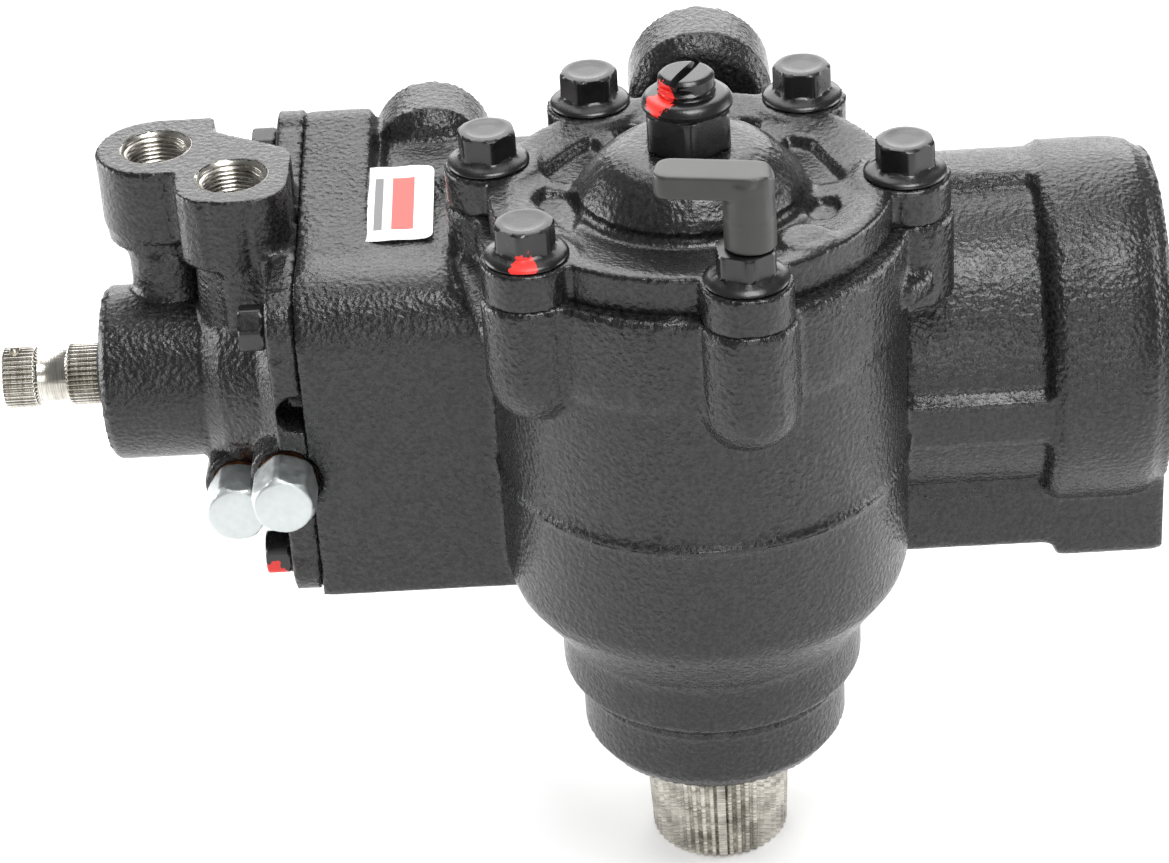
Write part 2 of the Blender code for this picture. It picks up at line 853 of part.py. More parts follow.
def add_rack_cylinder(housing):
    """The ribbed cylinder, its end band and the square foot under it."""
    ribbed = section_along_x("ribbed_cylinder", cylinder_outline(), 0.010, BAND_X + OVERLAP)
    band = turned_on_rack_axis(
        "end_band",
        [
            (0, END_DISC_X),
            (BAND_R - 0.0040, END_DISC_X),
            (BAND_R - 0.0035, CYLINDER_END_X),
            (BAND_R - 0.0010, CYLINDER_END_X - 0.003),
            (BAND_R, CYLINDER_END_X - 0.009),
            (BAND_R, BAND_X),
            (CYLINDER_RIB_R, BAND_X - 0.003),
            (0, BAND_X - 0.003),
        ],
        LARGE_SIDES,
    )
    long_foot = section_along_x(
        "long_foot", foot_outline(FOOT_Z, FOOT_ROUND_R), FOOT_START_X, BAND_X + OVERLAP
    )
    end_foot = section_along_x(
        "end_foot", foot_outline(END_FOOT_Z, END_FOOT_ROUND_R), BAND_X + 0.001, END_DISC_X - GAP
    )
    join(housing, ribbed, band, long_foot, end_foot)


def add_valve_end(housing):
    """The square block that carries the valve housing's flange."""
    corners = [
        (BLOCK_FRONT_Y, BLOCK_FOOT_Z),
        (BLOCK_BACK_Y, BLOCK_FOOT_Z),
        (BLOCK_BACK_Y, BLOCK_TOP_Z),
        (BLOCK_FRONT_Y, BLOCK_TOP_Z),
    ]
    outline = rounded(corners, [*BLOCK_EDGE_ROUNDS, BLOCK_ROUND_R], 6)
    block = section_along_x("valve_end_block", outline, JOINT_X, BLOCK_INNER_X)
    flange = section_along_x(
        "valve_end_flange",
        valve_flange_outline(VALVE_LOBE_R - 0.0004),
        JOINT_X + FINE_GAP,
        FLANGE_BACK_X,
    )
    join(housing, block, flange)


def mount_places():
    return {
        "upper": (UPPER_MOUNT, UPPER_MOUNT_R),
        "left": (LEFT_MOUNT, SIDE_MOUNT_R),
        "lower_left": (LOWER_LEFT_MOUNT, SIDE_MOUNT_R),
        "lower_right": (LOWER_RIGHT_MOUNT, SIDE_MOUNT_R),
    }


def add_mount_bosses(housing):
    """Round bosses with machined ends on the frame rail, and the webs that carry them."""
    for name, ((x, z), radius) in mount_places().items():
        boss = turned(
            name + "_mount_boss",
            [
                (0, 0),
                (radius - 0.001, 0),
                (radius, -0.001),
                (radius, -MOUNT_BOSS_LENGTH + 0.005),
                (radius - 0.005, -MOUNT_BOSS_LENGTH),
                (0, -MOUNT_BOSS_LENGTH),
            ],
            SMALL_SIDES,
            (x, 0, z),
            ALONG_Y,
        )
        join(housing, boss)
    upper_web = box(
        "upper_web",
        (UPPER_MOUNT[0] - 0.014, SECTOR_Y + BARREL_R - 0.010, 0.020),
        (UPPER_MOUNT[0] + 0.014, -0.006, UPPER_MOUNT[1] - 0.008),
        0.003,
    )
    left_web = box(
        "left_web",
        (LEFT_MOUNT[0] - 0.016, -0.055, 0.020),
        (LEFT_MOUNT[0] + 0.016, -0.006, LEFT_MOUNT[1] + 0.010),
        0.004,
    )
    right_web = box(
        "lower_right_web",
        (LOWER_RIGHT_MOUNT[0] - 0.017, -0.050, LOWER_RIGHT_MOUNT[1] - 0.014),
        (LOWER_RIGHT_MOUNT[0] + 0.017, -0.006, -0.010),
        0.003,
    )
    join(housing, upper_web, left_web, right_web)


def cut_inside(housing):
    """Cylinder bore, sector well, bearing and seal seats, and the end plug's seat."""
    bore = turned_on_rack_axis(
        "rack_bore",
        [
            (0, END_DISC_X + OVERLAP),
            (plug_bore_r(), END_DISC_X + OVERLAP),
            (plug_bore_r(), end_ring_x() + END_RING_WIDTH + GAP),
            (plug_bore_r() + SNAP_RING_DEPTH, end_ring_x() + END_RING_WIDTH + GAP),
            (plug_bore_r() + SNAP_RING_DEPTH, end_ring_x() - GAP),
            (plug_bore_r(), end_ring_x() - GAP),
            (plug_bore_r(), PLUG_SEAT_X),
            (BORE_R, PLUG_SEAT_X),
            (BORE_R, JOINT_X - OVERLAP),
            (0, JOINT_X - OVERLAP),
        ],
        LARGE_SIDES,
    )
    snap_z = snap_ring_z()
    well = turned(
        "sector_well",
        [
            (0, HOUSING_TOP_Z + OVERLAP),
            (CAVITY_R, HOUSING_TOP_Z + OVERLAP),
            (CAVITY_R, -SECTOR_FACE / 2 - 0.006),
            (needle_outer_r() + GAP, -SECTOR_FACE / 2 - 0.006),
            (needle_outer_r() + GAP, needle_foot_z() - GAP),
            (JOURNAL_R + 0.0015, needle_foot_z() - GAP),
            (JOURNAL_R + 0.0015, seal_top_z() + GAP),
            (seal_outer_r() + GAP, seal_top_z() + GAP),
            (seal_outer_r() + GAP, snap_z + GAP),
            (seal_outer_r() + SNAP_RING_DEPTH, snap_z + GAP),
            (seal_outer_r() + SNAP_RING_DEPTH, snap_z - SNAP_RING_WIDTH - GAP),
            (seal_outer_r() + GAP, snap_z - SNAP_RING_WIDTH - GAP),
            (seal_outer_r() + GAP, HOUSING_FOOT_Z - OVERLAP),
            (0, HOUSING_FOOT_Z - OVERLAP),
        ],
        MEDIUM_SIDES,
        (0, SECTOR_Y, 0),
    )
    cut(housing, bore, well)


def cut_bolt_holes(housing):
    """Tapped holes for the cover bolts, the valve housing's bolts and the frame bolts."""
    for angle in (*BOLT_ANGLES, VENT_ANGLE):
        x, y = polar(BOLT_CIRCLE_R, angle, STAR_SHIFT_Y)
        foot = cover_top_z() - COVER_THICK - BOLT_GRIP
        hole = cylinder(
            "tapped_hole",
            BOLT_SHANK_R + GAP,
            foot,
            HOUSING_TOP_Z + OVERLAP,
            (x, SECTOR_Y + y, 0),
            segments=FINE_SIDES,
        )
        cut(housing, hole)
    for y, z in VALVE_BOLT_PLACES:
        end = JOINT_X + VALVE_BOLT_GRIP - VALVE_FLANGE_THICK + OVERLAP
        hole = cylinder(
            "valve_bolt_hole", VALVE_BOLT_R + GAP, JOINT_X - OVERLAP, end, (0, y, z), ALONG_X, FINE_SIDES
        )
        cut(housing, hole)
    for (x, z), radius in mount_places().values():
        hole = turned(
            "frame_bolt_hole",
            [
                (0, OVERLAP),
                (MOUNT_HOLE_R, OVERLAP),
                (MOUNT_HOLE_R, -MOUNT_HOLE_DEPTH),
                (0, -MOUNT_HOLE_DEPTH - 0.003),
            ],
            FINE_SIDES,
            (x, 0, z),
            ALONG_Y,
        )
        cut(housing, hole)


def plug_bore_r():
    return BORE_R + PLUG_STEP


def end_ring_x():
    """Left side of the wire ring that holds the end plug in."""
    return PLUG_SEAT_X + PLUG_THICK + 2 * GAP


def make_main_housing(paint):
    housing = turned("main_housing", barrel_profile(), LARGE_SIDES, (0, SECTOR_Y, 0))
    add_star_walls(housing)
    add_rack_cylinder(housing)
    add_valve_end(housing)
    add_mount_bosses(housing)
    cut_inside(housing)
    cut_bolt_holes(housing)
    cut(housing, plug_spot_faces()[0])
    return finish(housing, paint)


def bushing_outer_r():
    return TRUNNION_R + GAP + BUSH_WALL


def cover_pockets():
    """Cast pockets between the cover's dome and its rim."""
    inner = DOME_R + COVER_POCKET_WALL
    pockets = []
    for name, first, last in (("left", 131, 154), ("right", 8, 32)):
        middle = (first + last) / 2
        corners = [
            polar(inner, first, STAR_SHIFT_Y),
            polar(BOLT_CIRCLE_R - 0.009, middle, STAR_SHIFT_Y),
            polar(inner, last, STAR_SHIFT_Y),
        ]
        pockets.append((name + "_pocket", rounded(corners, [COVER_POCKET_ROUND_R] * 3)))
    for angle, radius, size in ROUND_POCKETS:
        centre = polar(radius, angle, STAR_SHIFT_Y)
        pockets.append(("round_pocket", arc(centre, size, 0, 330, 11)))
    return pockets


def make_cover(paint):
    """The bolted cover: star plate, hollow dome, spigot and the sector shaft's upper seat."""
    top = cover_top_z()
    at = (0, SECTOR_Y, 0)
    cover = extruded("sector_cover", star_outline(LOBE_R), seat_z(), top, at)
    dome = turned(
        "cover_dome",
        [
            (0, DOME_TOP_Z),
            (0.0165, DOME_TOP_Z),
            (0.0205, DOME_TOP_Z - 0.0006),
            (0.0250, DOME_TOP_Z - 0.0025),
            (0.0290, DOME_TOP_Z - 0.0055),
            (0.0325, DOME_TOP_Z - 0.0095),
            (DOME_R - 0.001, top + 0.0010),
            (DOME_R + 0.0012, top - 0.0010),
            (DOME_R + 0.0012, top - COVER_THICK / 2),
            (0, top - COVER_THICK / 2),
        ],
        MEDIUM_SIDES,
        at,
    )
    spigot = cylinder(
        "cover_spigot",
        CAVITY_R - GAP,
        seat_z() - SPIGOT_DEPTH,
        top - COVER_THICK / 2,
        at,
        segments=MEDIUM_SIDES,
    )
    pad = cylinder(
        "blank_pad",
        BLANK_PAD_R,
        top - OVERLAP,
        top + BLANK_PAD_HEIGHT,
        (
            polar(BLANK_PAD_CIRCLE_R, BLANK_PAD_ANGLE)[0],
            SECTOR_Y + polar(BLANK_PAD_CIRCLE_R, BLANK_PAD_ANGLE)[1],
            0,
        ),
        segments=SMALL_SIDES,
    )
    join(cover, dome, spigot, pad)
    bushing_foot = seat_z() - SPIGOT_DEPTH
    inside = turned(
        "cover_inside",
        [
            (0, DOME_TOP_Z + OVERLAP),
            (ADJUSTER_R + GAP, DOME_TOP_Z + OVERLAP),
            (ADJUSTER_R + GAP, TRUNNION_TOP_Z + 0.004),
            (TRUNNION_R + GAP, TRUNNION_TOP_Z + 0.004),
            (TRUNNION_R + GAP, bushing_foot + BUSH_LENGTH + GAP),
            (bushing_outer_r() + GAP, bushing_foot + BUSH_LENGTH + GAP),
            (bushing_outer_r() + GAP, bushing_foot - OVERLAP),
            (0, bushing_foot - OVERLAP),
        ],
        MEDIUM_SIDES,
        at,
    )
    cord_groove = ring_part(
        "cover_seal_groove",
        CAVITY_R + OVERLAP,
        CAVITY_R - GAP - 2 * SEAL_CORD_R,
        COVER_SEAL_Z,
        COVER_SEAL_Z + 2 * SEAL_CORD_R + 2 * GAP,
    )
    cut(cover, inside, cord_groove)
    for name, outline in cover_pockets():
        cut(cover, extruded(name, outline, top - COVER_POCKET_DEPTH, top + OVERLAP, at))
    for x, y in star_points():
        hole = cylinder(
            "cover_bolt_hole",
            BOLT_SHANK_R + GAP,
            seat_z() - OVERLAP,
            top + OVERLAP,
            (x, SECTOR_Y + y, 0),
            segments=FINE_SIDES,
        )
        cut(cover, hole)
    return finish(cover, paint)


def make_cover_bolts(steel):
    """Flange bolts through the cover into the housing, on one shared mesh."""
    seat = GAP
    head = hex_head("bolt_head", BOLT_FLATS, seat + 0.0010, BOLT_HEAD_HEIGHT, 0.0010)
    bolt = turned(
        "cover_bolt_1",
        [
            (0, BOLT_FLANGE_THICK + 0.001),
            (BOLT_FLATS / 2, BOLT_FLANGE_THICK + 0.001),
            (BOLT_FLANGE_R - 0.0008, seat + 0.0013),
            (BOLT_FLANGE_R, seat + 0.0008),
            (BOLT_FLANGE_R, seat),
            (BOLT_SHANK_R, seat),
            (BOLT_SHANK_R, -COVER_THICK - BOLT_GRIP + 0.002),
            (BOLT_SHANK_R - 0.001, -COVER_THICK - BOLT_GRIP + 0.001),
            (0, -COVER_THICK - BOLT_GRIP + 0.001),
        ],
        FINE_SIDES,
    )
    join(bolt, head)
    finish(bolt, steel)
    for number, angle in enumerate(BOLT_ANGLES, 1):
        x, y = polar(BOLT_CIRCLE_R, angle, STAR_SHIFT_Y)
        at = (x, SECTOR_Y + y, cover_top_z())
        turn = (0, 0, radians(20 * number))
        if number == 1:
            bolt.location = at
            bolt.rotation_euler = turn
        else:
            copy_of(bolt, f"cover_bolt_{number}", at, turn)


def make_vent(steel, rubber):
    """The vent: a flange stud in the sixth hole, and the elbow that is pushed on it."""
    x, y = polar(BOLT_CIRCLE_R, VENT_ANGLE, STAR_SHIFT_Y)
    at = (x, SECTOR_Y + y, 0)
    top = cover_top_z()
    base = top + GAP
    nipple_r = VENT_STEM_R - 0.0035
    nipple_top = VENT_HEX_TOP_Z + 0.010
    head = hex_head("vent_hex", BOLT_FLATS, base + 0.001, VENT_HEX_TOP_Z, 0.0010)
    head.location = at
    stud = turned(
        "vent_stud",
        [
            (0, nipple_top),
            (nipple_r - 0.0005, nipple_top),
            (nipple_r, nipple_top - 0.001),
            (nipple_r, base + 0.006),
            (BOLT_FLATS / 2 - FINE_GAP, base + 0.0038),
            (BOLT_FLANGE_R - 0.0008, base + 0.0013),
            (BOLT_FLANGE_R, base + 0.0008),
            (BOLT_FLANGE_R, base),
            (BOLT_SHANK_R, base),
            (BOLT_SHANK_R, seat_z() - BOLT_GRIP + 0.001),
            (0, seat_z() - BOLT_GRIP + 0.001),
        ],
        FINE_SIDES,
        at,
    )
    join(stud, head)
    finish(stud, steel)

    stem = cylinder(
        "vent_elbow", VENT_STEM_R, VENT_HEX_TOP_Z + GAP, VENT_TOP_Z - 0.003, at, segments=SMALL_SIDES
    )
    arm = extruded(
        "vent_arm",
        rounded(
            [
                (-VENT_ARM_LENGTH, -VENT_STEM_R * 0.86),
                (VENT_STEM_R, -VENT_STEM_R * 0.86),
                (VENT_STEM_R, VENT_STEM_R * 0.86),
                (-VENT_ARM_LENGTH, VENT_STEM_R * 0.86),
            ],
            [0.0042, 0.0060, 0.0060, 0.0042],
            5,
        ),
        VENT_TOP_Z - VENT_ARM_HEIGHT,
        VENT_TOP_Z,
        at,
    )
    bevel = arm.modifiers.new("round", "BEVEL")
    bevel.width = 0.0024
    bevel.segments = 2
    bevel.limit_method = "ANGLE"
    bevel.angle_limit = radians(50)
    bake(arm)
    join(stem, arm)
    bore = cylinder(
        "nipple_bore",
        nipple_r + GAP,
        VENT_HEX_TOP_Z - OVERLAP,
        nipple_top + GAP + 0.001,
        at,
        segments=FINE_SIDES,
    )
    cut(stem, bore)
    finish(stem, rubber)


def make_adjuster(steel, black_steel):
    """Adjuster screw with its T head, the lock nut over the cover and the head's retainer."""
    at = (0, SECTOR_Y, 0)
    head_foot = TRUNNION_TOP_Z - ADJUSTER_POCKET_DEPTH + GAP
    screw = turned(
        "adjuster_screw",
        [
            (0, ADJUSTER_TOP_Z),
            (ADJUSTER_R - 0.0016, ADJUSTER_TOP_Z),
            (ADJUSTER_R, ADJUSTER_TOP_Z - 0.0018),
            (ADJUSTER_R, head_foot + ADJUSTER_HEAD_THICK),
            (ADJUSTER_HEAD_R, head_foot + ADJUSTER_HEAD_THICK),
            (ADJUSTER_HEAD_R, head_foot),
            (0, head_foot),
        ],
        SMALL_SIDES,
        at,
    )
    slot = box(
        "screw_slot",
        (-0.0016, SECTOR_Y - ADJUSTER_R - OVERLAP, ADJUSTER_TOP_Z - 0.004),
        (0.0016, SECTOR_Y + ADJUSTER_R + OVERLAP, ADJUSTER_TOP_Z + OVERLAP),
    )
    cut(screw, slot)
    finish(screw, steel)

    nut_foot = DOME_TOP_Z + GAP
    nut_top = nut_foot + LOCK_NUT_HEIGHT
    nut = hex_head("adjuster_lock_nut", LOCK_NUT_FLATS, nut_foot, nut_top - 0.0042, 0.0006)
    nut.location = at
    collar = turned(
        "nut_collar",
        [
            (0, nut_top),
            (LOCK_NUT_COLLAR_R - 0.003, nut_top),
            (LOCK_NUT_COLLAR_R - 0.0008, nut_top - 0.0012),
            (LOCK_NUT_COLLAR_R, nut_top - 0.0030),
            (LOCK_NUT_COLLAR_R - 0.0006, nut_top - 0.0052),
            (0, nut_top - 0.0052),
        ],
        SMALL_SIDES,
        at,
    )
    join(nut, collar)
    bore = cylinder(
        "nut_bore", ADJUSTER_R + GAP, nut_foot - OVERLAP, nut_top + OVERLAP, at, segments=SMALL_SIDES
    )
    cut(nut, bore)
    finish(nut, black_steel)


def make_static_rings(steel, bronze, rubber):
    """Bushing, needle bearing, seals and snap ring round the sector shaft."""
    foot = seat_z() - SPIGOT_DEPTH
    bushing = ring_part(
        "upper_sector_bushing", bushing_outer_r(), TRUNNION_R + GAP, foot, foot + BUSH_LENGTH
    )
    finish(bushing, bronze)
    needle = ring_part(
        "lower_sector_bearing", needle_outer_r(), JOURNAL_R + GAP, needle_foot_z(), NEEDLE_TOP_Z
    )
    finish(needle, steel)
    top = seal_top_z()
    seal = ring_part("sector_oil_seal", seal_outer_r(), JOURNAL_R + GAP, top - SEAL_LENGTH, top)
    finish(seal, rubber)
    backup = ring_part(
        "seal_backup_washer",
        seal_outer_r(),
        JOURNAL_R + GAP,
        top - SEAL_LENGTH - GAP - BACKUP_THICK,
        top - SEAL_LENGTH - GAP,
    )
    finish(backup, steel)
    snap_top = snap_ring_z()
    snap = ring_part(
        "sector_snap_ring",
        seal_outer_r() + SNAP_RING_DEPTH - GAP,
        seal_outer_r() - 0.0025,
        snap_top - SNAP_RING_WIDTH,
        snap_top,
    )
    gap_box = box(
        "snap_ring_gap",
        (-0.004, SECTOR_Y, snap_top - 0.02),
        (0.004, SECTOR_Y + seal_outer_r() * 1.5, snap_top + 0.01),
    )
    cut(snap, gap_box)
    finish(snap, steel)
    dust_top = snap_top - SNAP_RING_WIDTH - GAP - 0.001
    dust = turned(
        "sector_dust_seal",
        [
            (seal_outer_r(), dust_top),
            (seal_outer_r(), dust_top - DUST_SEAL_LENGTH + 0.0015),
            (seal_outer_r() - 0.0025, dust_top - DUST_SEAL_LENGTH),
            (JOURNAL_R + 0.0015, dust_top - DUST_SEAL_LENGTH + 0.0010),
            (JOURNAL_R + GAP, dust_top - DUST_SEAL_LENGTH + 0.0030),
            (JOURNAL_R + GAP, dust_top),
        ],
        MEDIUM_SIDES,
        (0, SECTOR_Y, 0),
    )
    finish(dust, rubber)
    cover_seal = seal_cord(
        "cover_seal",
        CAVITY_R - SEAL_CORD_R - GAP / 2,
        SEAL_CORD_R,
        (0, SECTOR_Y, COVER_SEAL_Z + SEAL_CORD_R + GAP),
        steps=MEDIUM_SIDES,
    )
    finish(cover_seal, rubber)


def make_sector_shaft(steel, parent):
    """Sector shaft: trunnion, three teeth, journal and tapered serrations for the arm."""
    foot = journal_foot_z()
    shaft = turned(
        "sector_shaft",
        [
            (0, TRUNNION_TOP_Z),
            (TRUNNION_R - 0.001, TRUNNION_TOP_Z),
            (TRUNNION_R, TRUNNION_TOP_Z - 0.001),
            (TRUNNION_R, SECTOR_FACE / 2 - OVERLAP),
            (JOURNAL_R, SECTOR_FACE / 2 - OVERLAP),
            (JOURNAL_R, foot + 0.0012),
            (JOURNAL_R - 0.0012, foot),
            (SERRATION_TOP_R - SERRATION_DEPTH - 0.0004, foot),
            (SERRATION_TOP_R - SERRATION_DEPTH - 0.0004, foot - OVERLAP),
            (0, foot - OVERLAP),
        ],
        LARGE_SIDES,
        (0, SECTOR_Y, 0),
    )
    teeth = extruded("sector_teeth", sector_outline(), -SECTOR_FACE / 2, SECTOR_FACE / 2, (0, SECTOR_Y, 0))
    crest = star_section(SERRATION_COUNT, SERRATION_TOP_R, SERRATION_DEPTH, 0)
    serration = tapered(
        extruded("arm_serration", crest, SHAFT_END_Z, foot - 0.0010, (0, SECTOR_Y, 0)),
        SHAFT_END_Z,
        foot - 0.0010,
        SERRATION_END_R / SERRATION_TOP_R,
        1,
    )
    join(shaft, teeth, serration)
    pocket = cylinder(
        "adjuster_pocket",
        ADJUSTER_HEAD_R + GAP,
        TRUNNION_TOP_Z - ADJUSTER_POCKET_DEPTH,
        TRUNNION_TOP_Z + OVERLAP,
        (0, SECTOR_Y, 0),
        segments=SMALL_SIDES,
    )
    cut(shaft, pocket)
    finish(shaft, steel, parent)
    top = TRUNNION_TOP_Z - GAP
    retainer = ring_part(
        "adjuster_retainer",
        ADJUSTER_HEAD_R,
        ADJUSTER_R + GAP,
        top - adjuster_retainer_thick(),
        top,
        SMALL_SIDES,
    )
    finish(retainer, steel, parent)


def adjuster_retainer_thick():
    """What is left in the shaft's pocket over the adjuster's head."""
    return ADJUSTER_POCKET_DEPTH - ADJUSTER_HEAD_THICK - 3 * GAP


def rack_tooth_cutters():
    """What the gear cutter takes off the rack piston: the flat, and the tooth spaces."""
    tip_y = RACK_Y - RACK_PITCH_OFFSET - TOOTH_ADDENDUM
    root_y = RACK_Y - RACK_PITCH_OFFSET + TOOTH_ADDENDUM + TIP_CLEARANCE
    pitch = pi * MODULE
    half_tip_space = (pitch - (pi * MODULE / 2 - BACKLASH / 2)) / 2 + TOOTH_ADDENDUM * tan(PRESSURE_ANGLE)
    depth = root_y - tip_y
    half_root_space = half_tip_space - depth * tan(PRESSURE_ANGLE)
    spaces = []
    for place_x in (-pitch, 0, pitch):
        outline = [
            (place_x - half_tip_space - OVERLAP * tan(PRESSURE_ANGLE), tip_y - OVERLAP),
            (place_x + half_tip_space + OVERLAP * tan(PRESSURE_ANGLE), tip_y - OVERLAP),
            (place_x + half_root_space, root_y),
            (place_x - half_root_space, root_y),
        ]
        spaces.append(extruded("tooth_space", outline, -BORE_R, BORE_R))
    outer = pitch * 2 - half_tip_space
    for side in (-1, 1):
        outline = [
            (side * (outer - OVERLAP * tan(PRESSURE_ANGLE)), tip_y - OVERLAP),
            (side * (RACK_TOOTH_SPAN / 2 + OVERLAP), tip_y - OVERLAP),
            (side * RACK_TOOTH_SPAN / 2, tip_y + 0.003),
            (side * RACK_TOOTH_SPAN / 2, root_y),
            (side * (outer + depth * tan(PRESSURE_ANGLE)), root_y),
        ]
        spaces.append(extruded("end_space", outline if side > 0 else outline[::-1], -BORE_R, BORE_R))
    flat = box(
        "tooth_flat",
        (-RACK_TOOTH_SPAN / 2, RACK_Y - BORE_R - OVERLAP, -BORE_R - OVERLAP),
        (RACK_TOOTH_SPAN / 2, tip_y, BORE_R + OVERLAP),
    )
    return [flat, *spaces]


def ball_place(turns):
    """A place on the balls' path in the nut, from a number of turns of the helix."""
    angle = 2 * pi * turns
    return (LEAD * turns, RACK_Y + BALL_CIRCLE_R * cos(angle), BALL_CIRCLE_R * sin(angle))


def make_rack(steel, ring_steel, parent):
    """Rack piston, with its teeth, the ball nut's groove and the pocket of the ball return."""
    half = RACK_LENGTH / 2
    radius = BORE_R - GAP
    ring_x = half - 0.012
    rack = turned_on_rack_axis(
        "rack_piston",
        [
            (0, half),
            (radius - 0.0015, half),
            (radius, half - 0.0015),
            (radius, ring_x + PISTON_RING_WIDTH + GAP),
            (radius - PISTON_RING_DEPTH, ring_x + PISTON_RING_WIDTH + GAP),
            (radius - PISTON_RING_DEPTH, ring_x - GAP),
            (radius, ring_x - GAP),
            (radius, -half + 0.0015),
            (radius - 0.0015, -half),
            (0, -half),
        ],
        LARGE_SIDES,
    )
    cut(rack, *rack_tooth_cutters())
    groove = helix_form(
        "nut_groove",
        NUT_BORE_R,
        BALL_CIRCLE_R,
        BALL_R + GROOVE_PLAY,
        RETURN_FIRST_X - BALL_R - GROOVE_PLAY,
        RETURN_LAST_X + BALL_R + GROOVE_PLAY,
        True,
    )
    screw_hole = turned_on_rack_axis(
        "nut_bore",
        [
            (0, worm_reach() + 0.004),
            (NUT_BORE_R - FINE_GAP, worm_reach()),
            (NUT_BORE_R - FINE_GAP, -half - OVERLAP),
            (0, -half - OVERLAP),
        ],
        FINE_SIDES,
    )
    pocket = box(
        "return_pocket",
        (RETURN_FIRST_X - 0.010, RACK_Y + RETURN_FLOOR, -0.013),
        (RETURN_LAST_X + 0.010, RACK_Y + BORE_R + OVERLAP, 0.013),
    )
    cut(rack, groove, screw_hole, pocket)
    for leg_x in (RETURN_FIRST_X, RETURN_LAST_X):
        leg = cylinder(
            "return_leg_hole",
            RETURN_TUBE_R + GAP,
            NUT_BORE_R - 0.0025,
            RETURN_FLOOR + OVERLAP,
            (leg_x, RACK_Y, 0),
            ALONG_Y,
            FINE_SIDES,
        )
        cut(rack, leg)
    for x in clamp_screw_places():
        hole = cylinder(
            "clamp_screw_hole",
            CLAMP_SCREW_R + GAP,
            RETURN_FLOOR - CLAMP_SCREW_GRIP,
            RETURN_FLOOR + OVERLAP,
            (x, RACK_Y, clamp_screw_z()),
            ALONG_Y,
            FINE_SIDES,
        )
        cut(rack, hole)
    finish(rack, steel, parent)

    ring = ring_part(
        "piston_ring",
        BORE_R - FINE_GAP,
        radius - PISTON_RING_DEPTH + GAP,
        ring_x,
        ring_x + PISTON_RING_WIDTH,
        LARGE_SIDES,
        True,
    )
    finish(ring, ring_steel, parent)


def worm_reach():
    """How far the worm's end can reach into the rack, in the rack's own frame."""
    return WORM_END_X + rack_stroke() + 0.003


def rack_stroke():
    return PITCH_R * radians(SECTOR_SWING)


def clamp_screw_places():
    middle = (RETURN_FIRST_X + RETURN_LAST_X) / 2
    return (middle - CLAMP_SCREW_SPREAD / 2, middle + CLAMP_SCREW_SPREAD / 2)


def clamp_screw_z():
    """The clamp's screws stand beside the return tube."""
    return RETURN_TUBE_R + GAP + 1.8 * CLAMP_SCREW_R


def clamp_foot():
    """Underside of the clamp's plate, over the return tube, from the rack's axis."""
    return RETURN_FLOOR + 2 * RETURN_TUBE_R + 2 * GAP


def make_ball_circuit(steel, parent):
    """Balls in the nut's groove, the return tube over them and its clamp."""
    form = ball("steel_ball_1", BALL_R - FINE_GAP, ball_place(-1.5), 8)
    finish(form, steel, parent)
    for number in range(2, BALLS_SHOWN + 1):
        turns = -1.5 - (number - 1) * 2 / (BALLS_SHOWN - 1)
        other = copy_of(form, f"steel_ball_{number}", ball_place(turns))
        other.parent = parent
        other.matrix_parent_inverse = parent.matrix_world.inverted()

    bar = RETURN_FLOOR + RETURN_TUBE_R + GAP
    bend = RETURN_TUBE_R + GAP
    route = [(RETURN_FIRST_X, NUT_BORE_R)]
    route += arc((RETURN_FIRST_X + bend, bar - bend), bend, 180, 90, 5)
    route += arc((RETURN_LAST_X - bend, bar - bend), bend, 90, 0, 5)
    route += [(RETURN_LAST_X, NUT_BORE_R)]
    tube = bent_rod("ball_return_tube", route, RETURN_TUBE_R, (0, RACK_Y, 0))
    finish(tube, steel, parent)

    low_x = clamp_screw_places()[0] - 2.4 * CLAMP_SCREW_R
    high_x = clamp_screw_places()[1] + 2.4 * CLAMP_SCREW_R
    plate_y = RACK_Y + clamp_foot()
    side_z = clamp_screw_z() + 2.2 * CLAMP_SCREW_R
    clamp = box(
        "return_clamp", (low_x, plate_y, -1.8 * RETURN_TUBE_R), (high_x, plate_y + CLAMP_THICK, side_z)
    )
    skirt = box(
        "clamp_skirt",
        (low_x, RACK_Y + RETURN_FLOOR + GAP, RETURN_TUBE_R + GAP),
        (high_x, plate_y + CLAMP_THICK / 2, side_z),
    )
    join(clamp, skirt)
    for x in clamp_screw_places():
        hole = cylinder(
            "clamp_hole",
            CLAMP_SCREW_R + GAP,
            RETURN_FLOOR - OVERLAP,
            BORE_R,
            (x, RACK_Y, clamp_screw_z()),
            ALONG_Y,
            FINE_SIDES,
        )
        cut(clamp, hole)
    finish(clamp, steel, parent)
    seat = clamp_foot() + CLAMP_THICK + GAP
    for number, x in enumerate(clamp_screw_places(), 1):
        screw = turned(
            f"clamp_screw_{number}",
            [
                (0, seat + CLAMP_SCREW_R),
                (1.7 * CLAMP_SCREW_R, seat + CLAMP_SCREW_R),
                (1.7 * CLAMP_SCREW_R, seat),
                (CLAMP_SCREW_R, seat),
                (CLAMP_SCREW_R, RETURN_FLOOR - CLAMP_SCREW_GRIP + GAP),
                (0, RETURN_FLOOR - CLAMP_SCREW_GRIP + GAP),
            ],
            FINE_SIDES,
            (x, RACK_Y, clamp_screw_z()),
            ALONG_Y,
        )
        finish(screw, steel, parent)


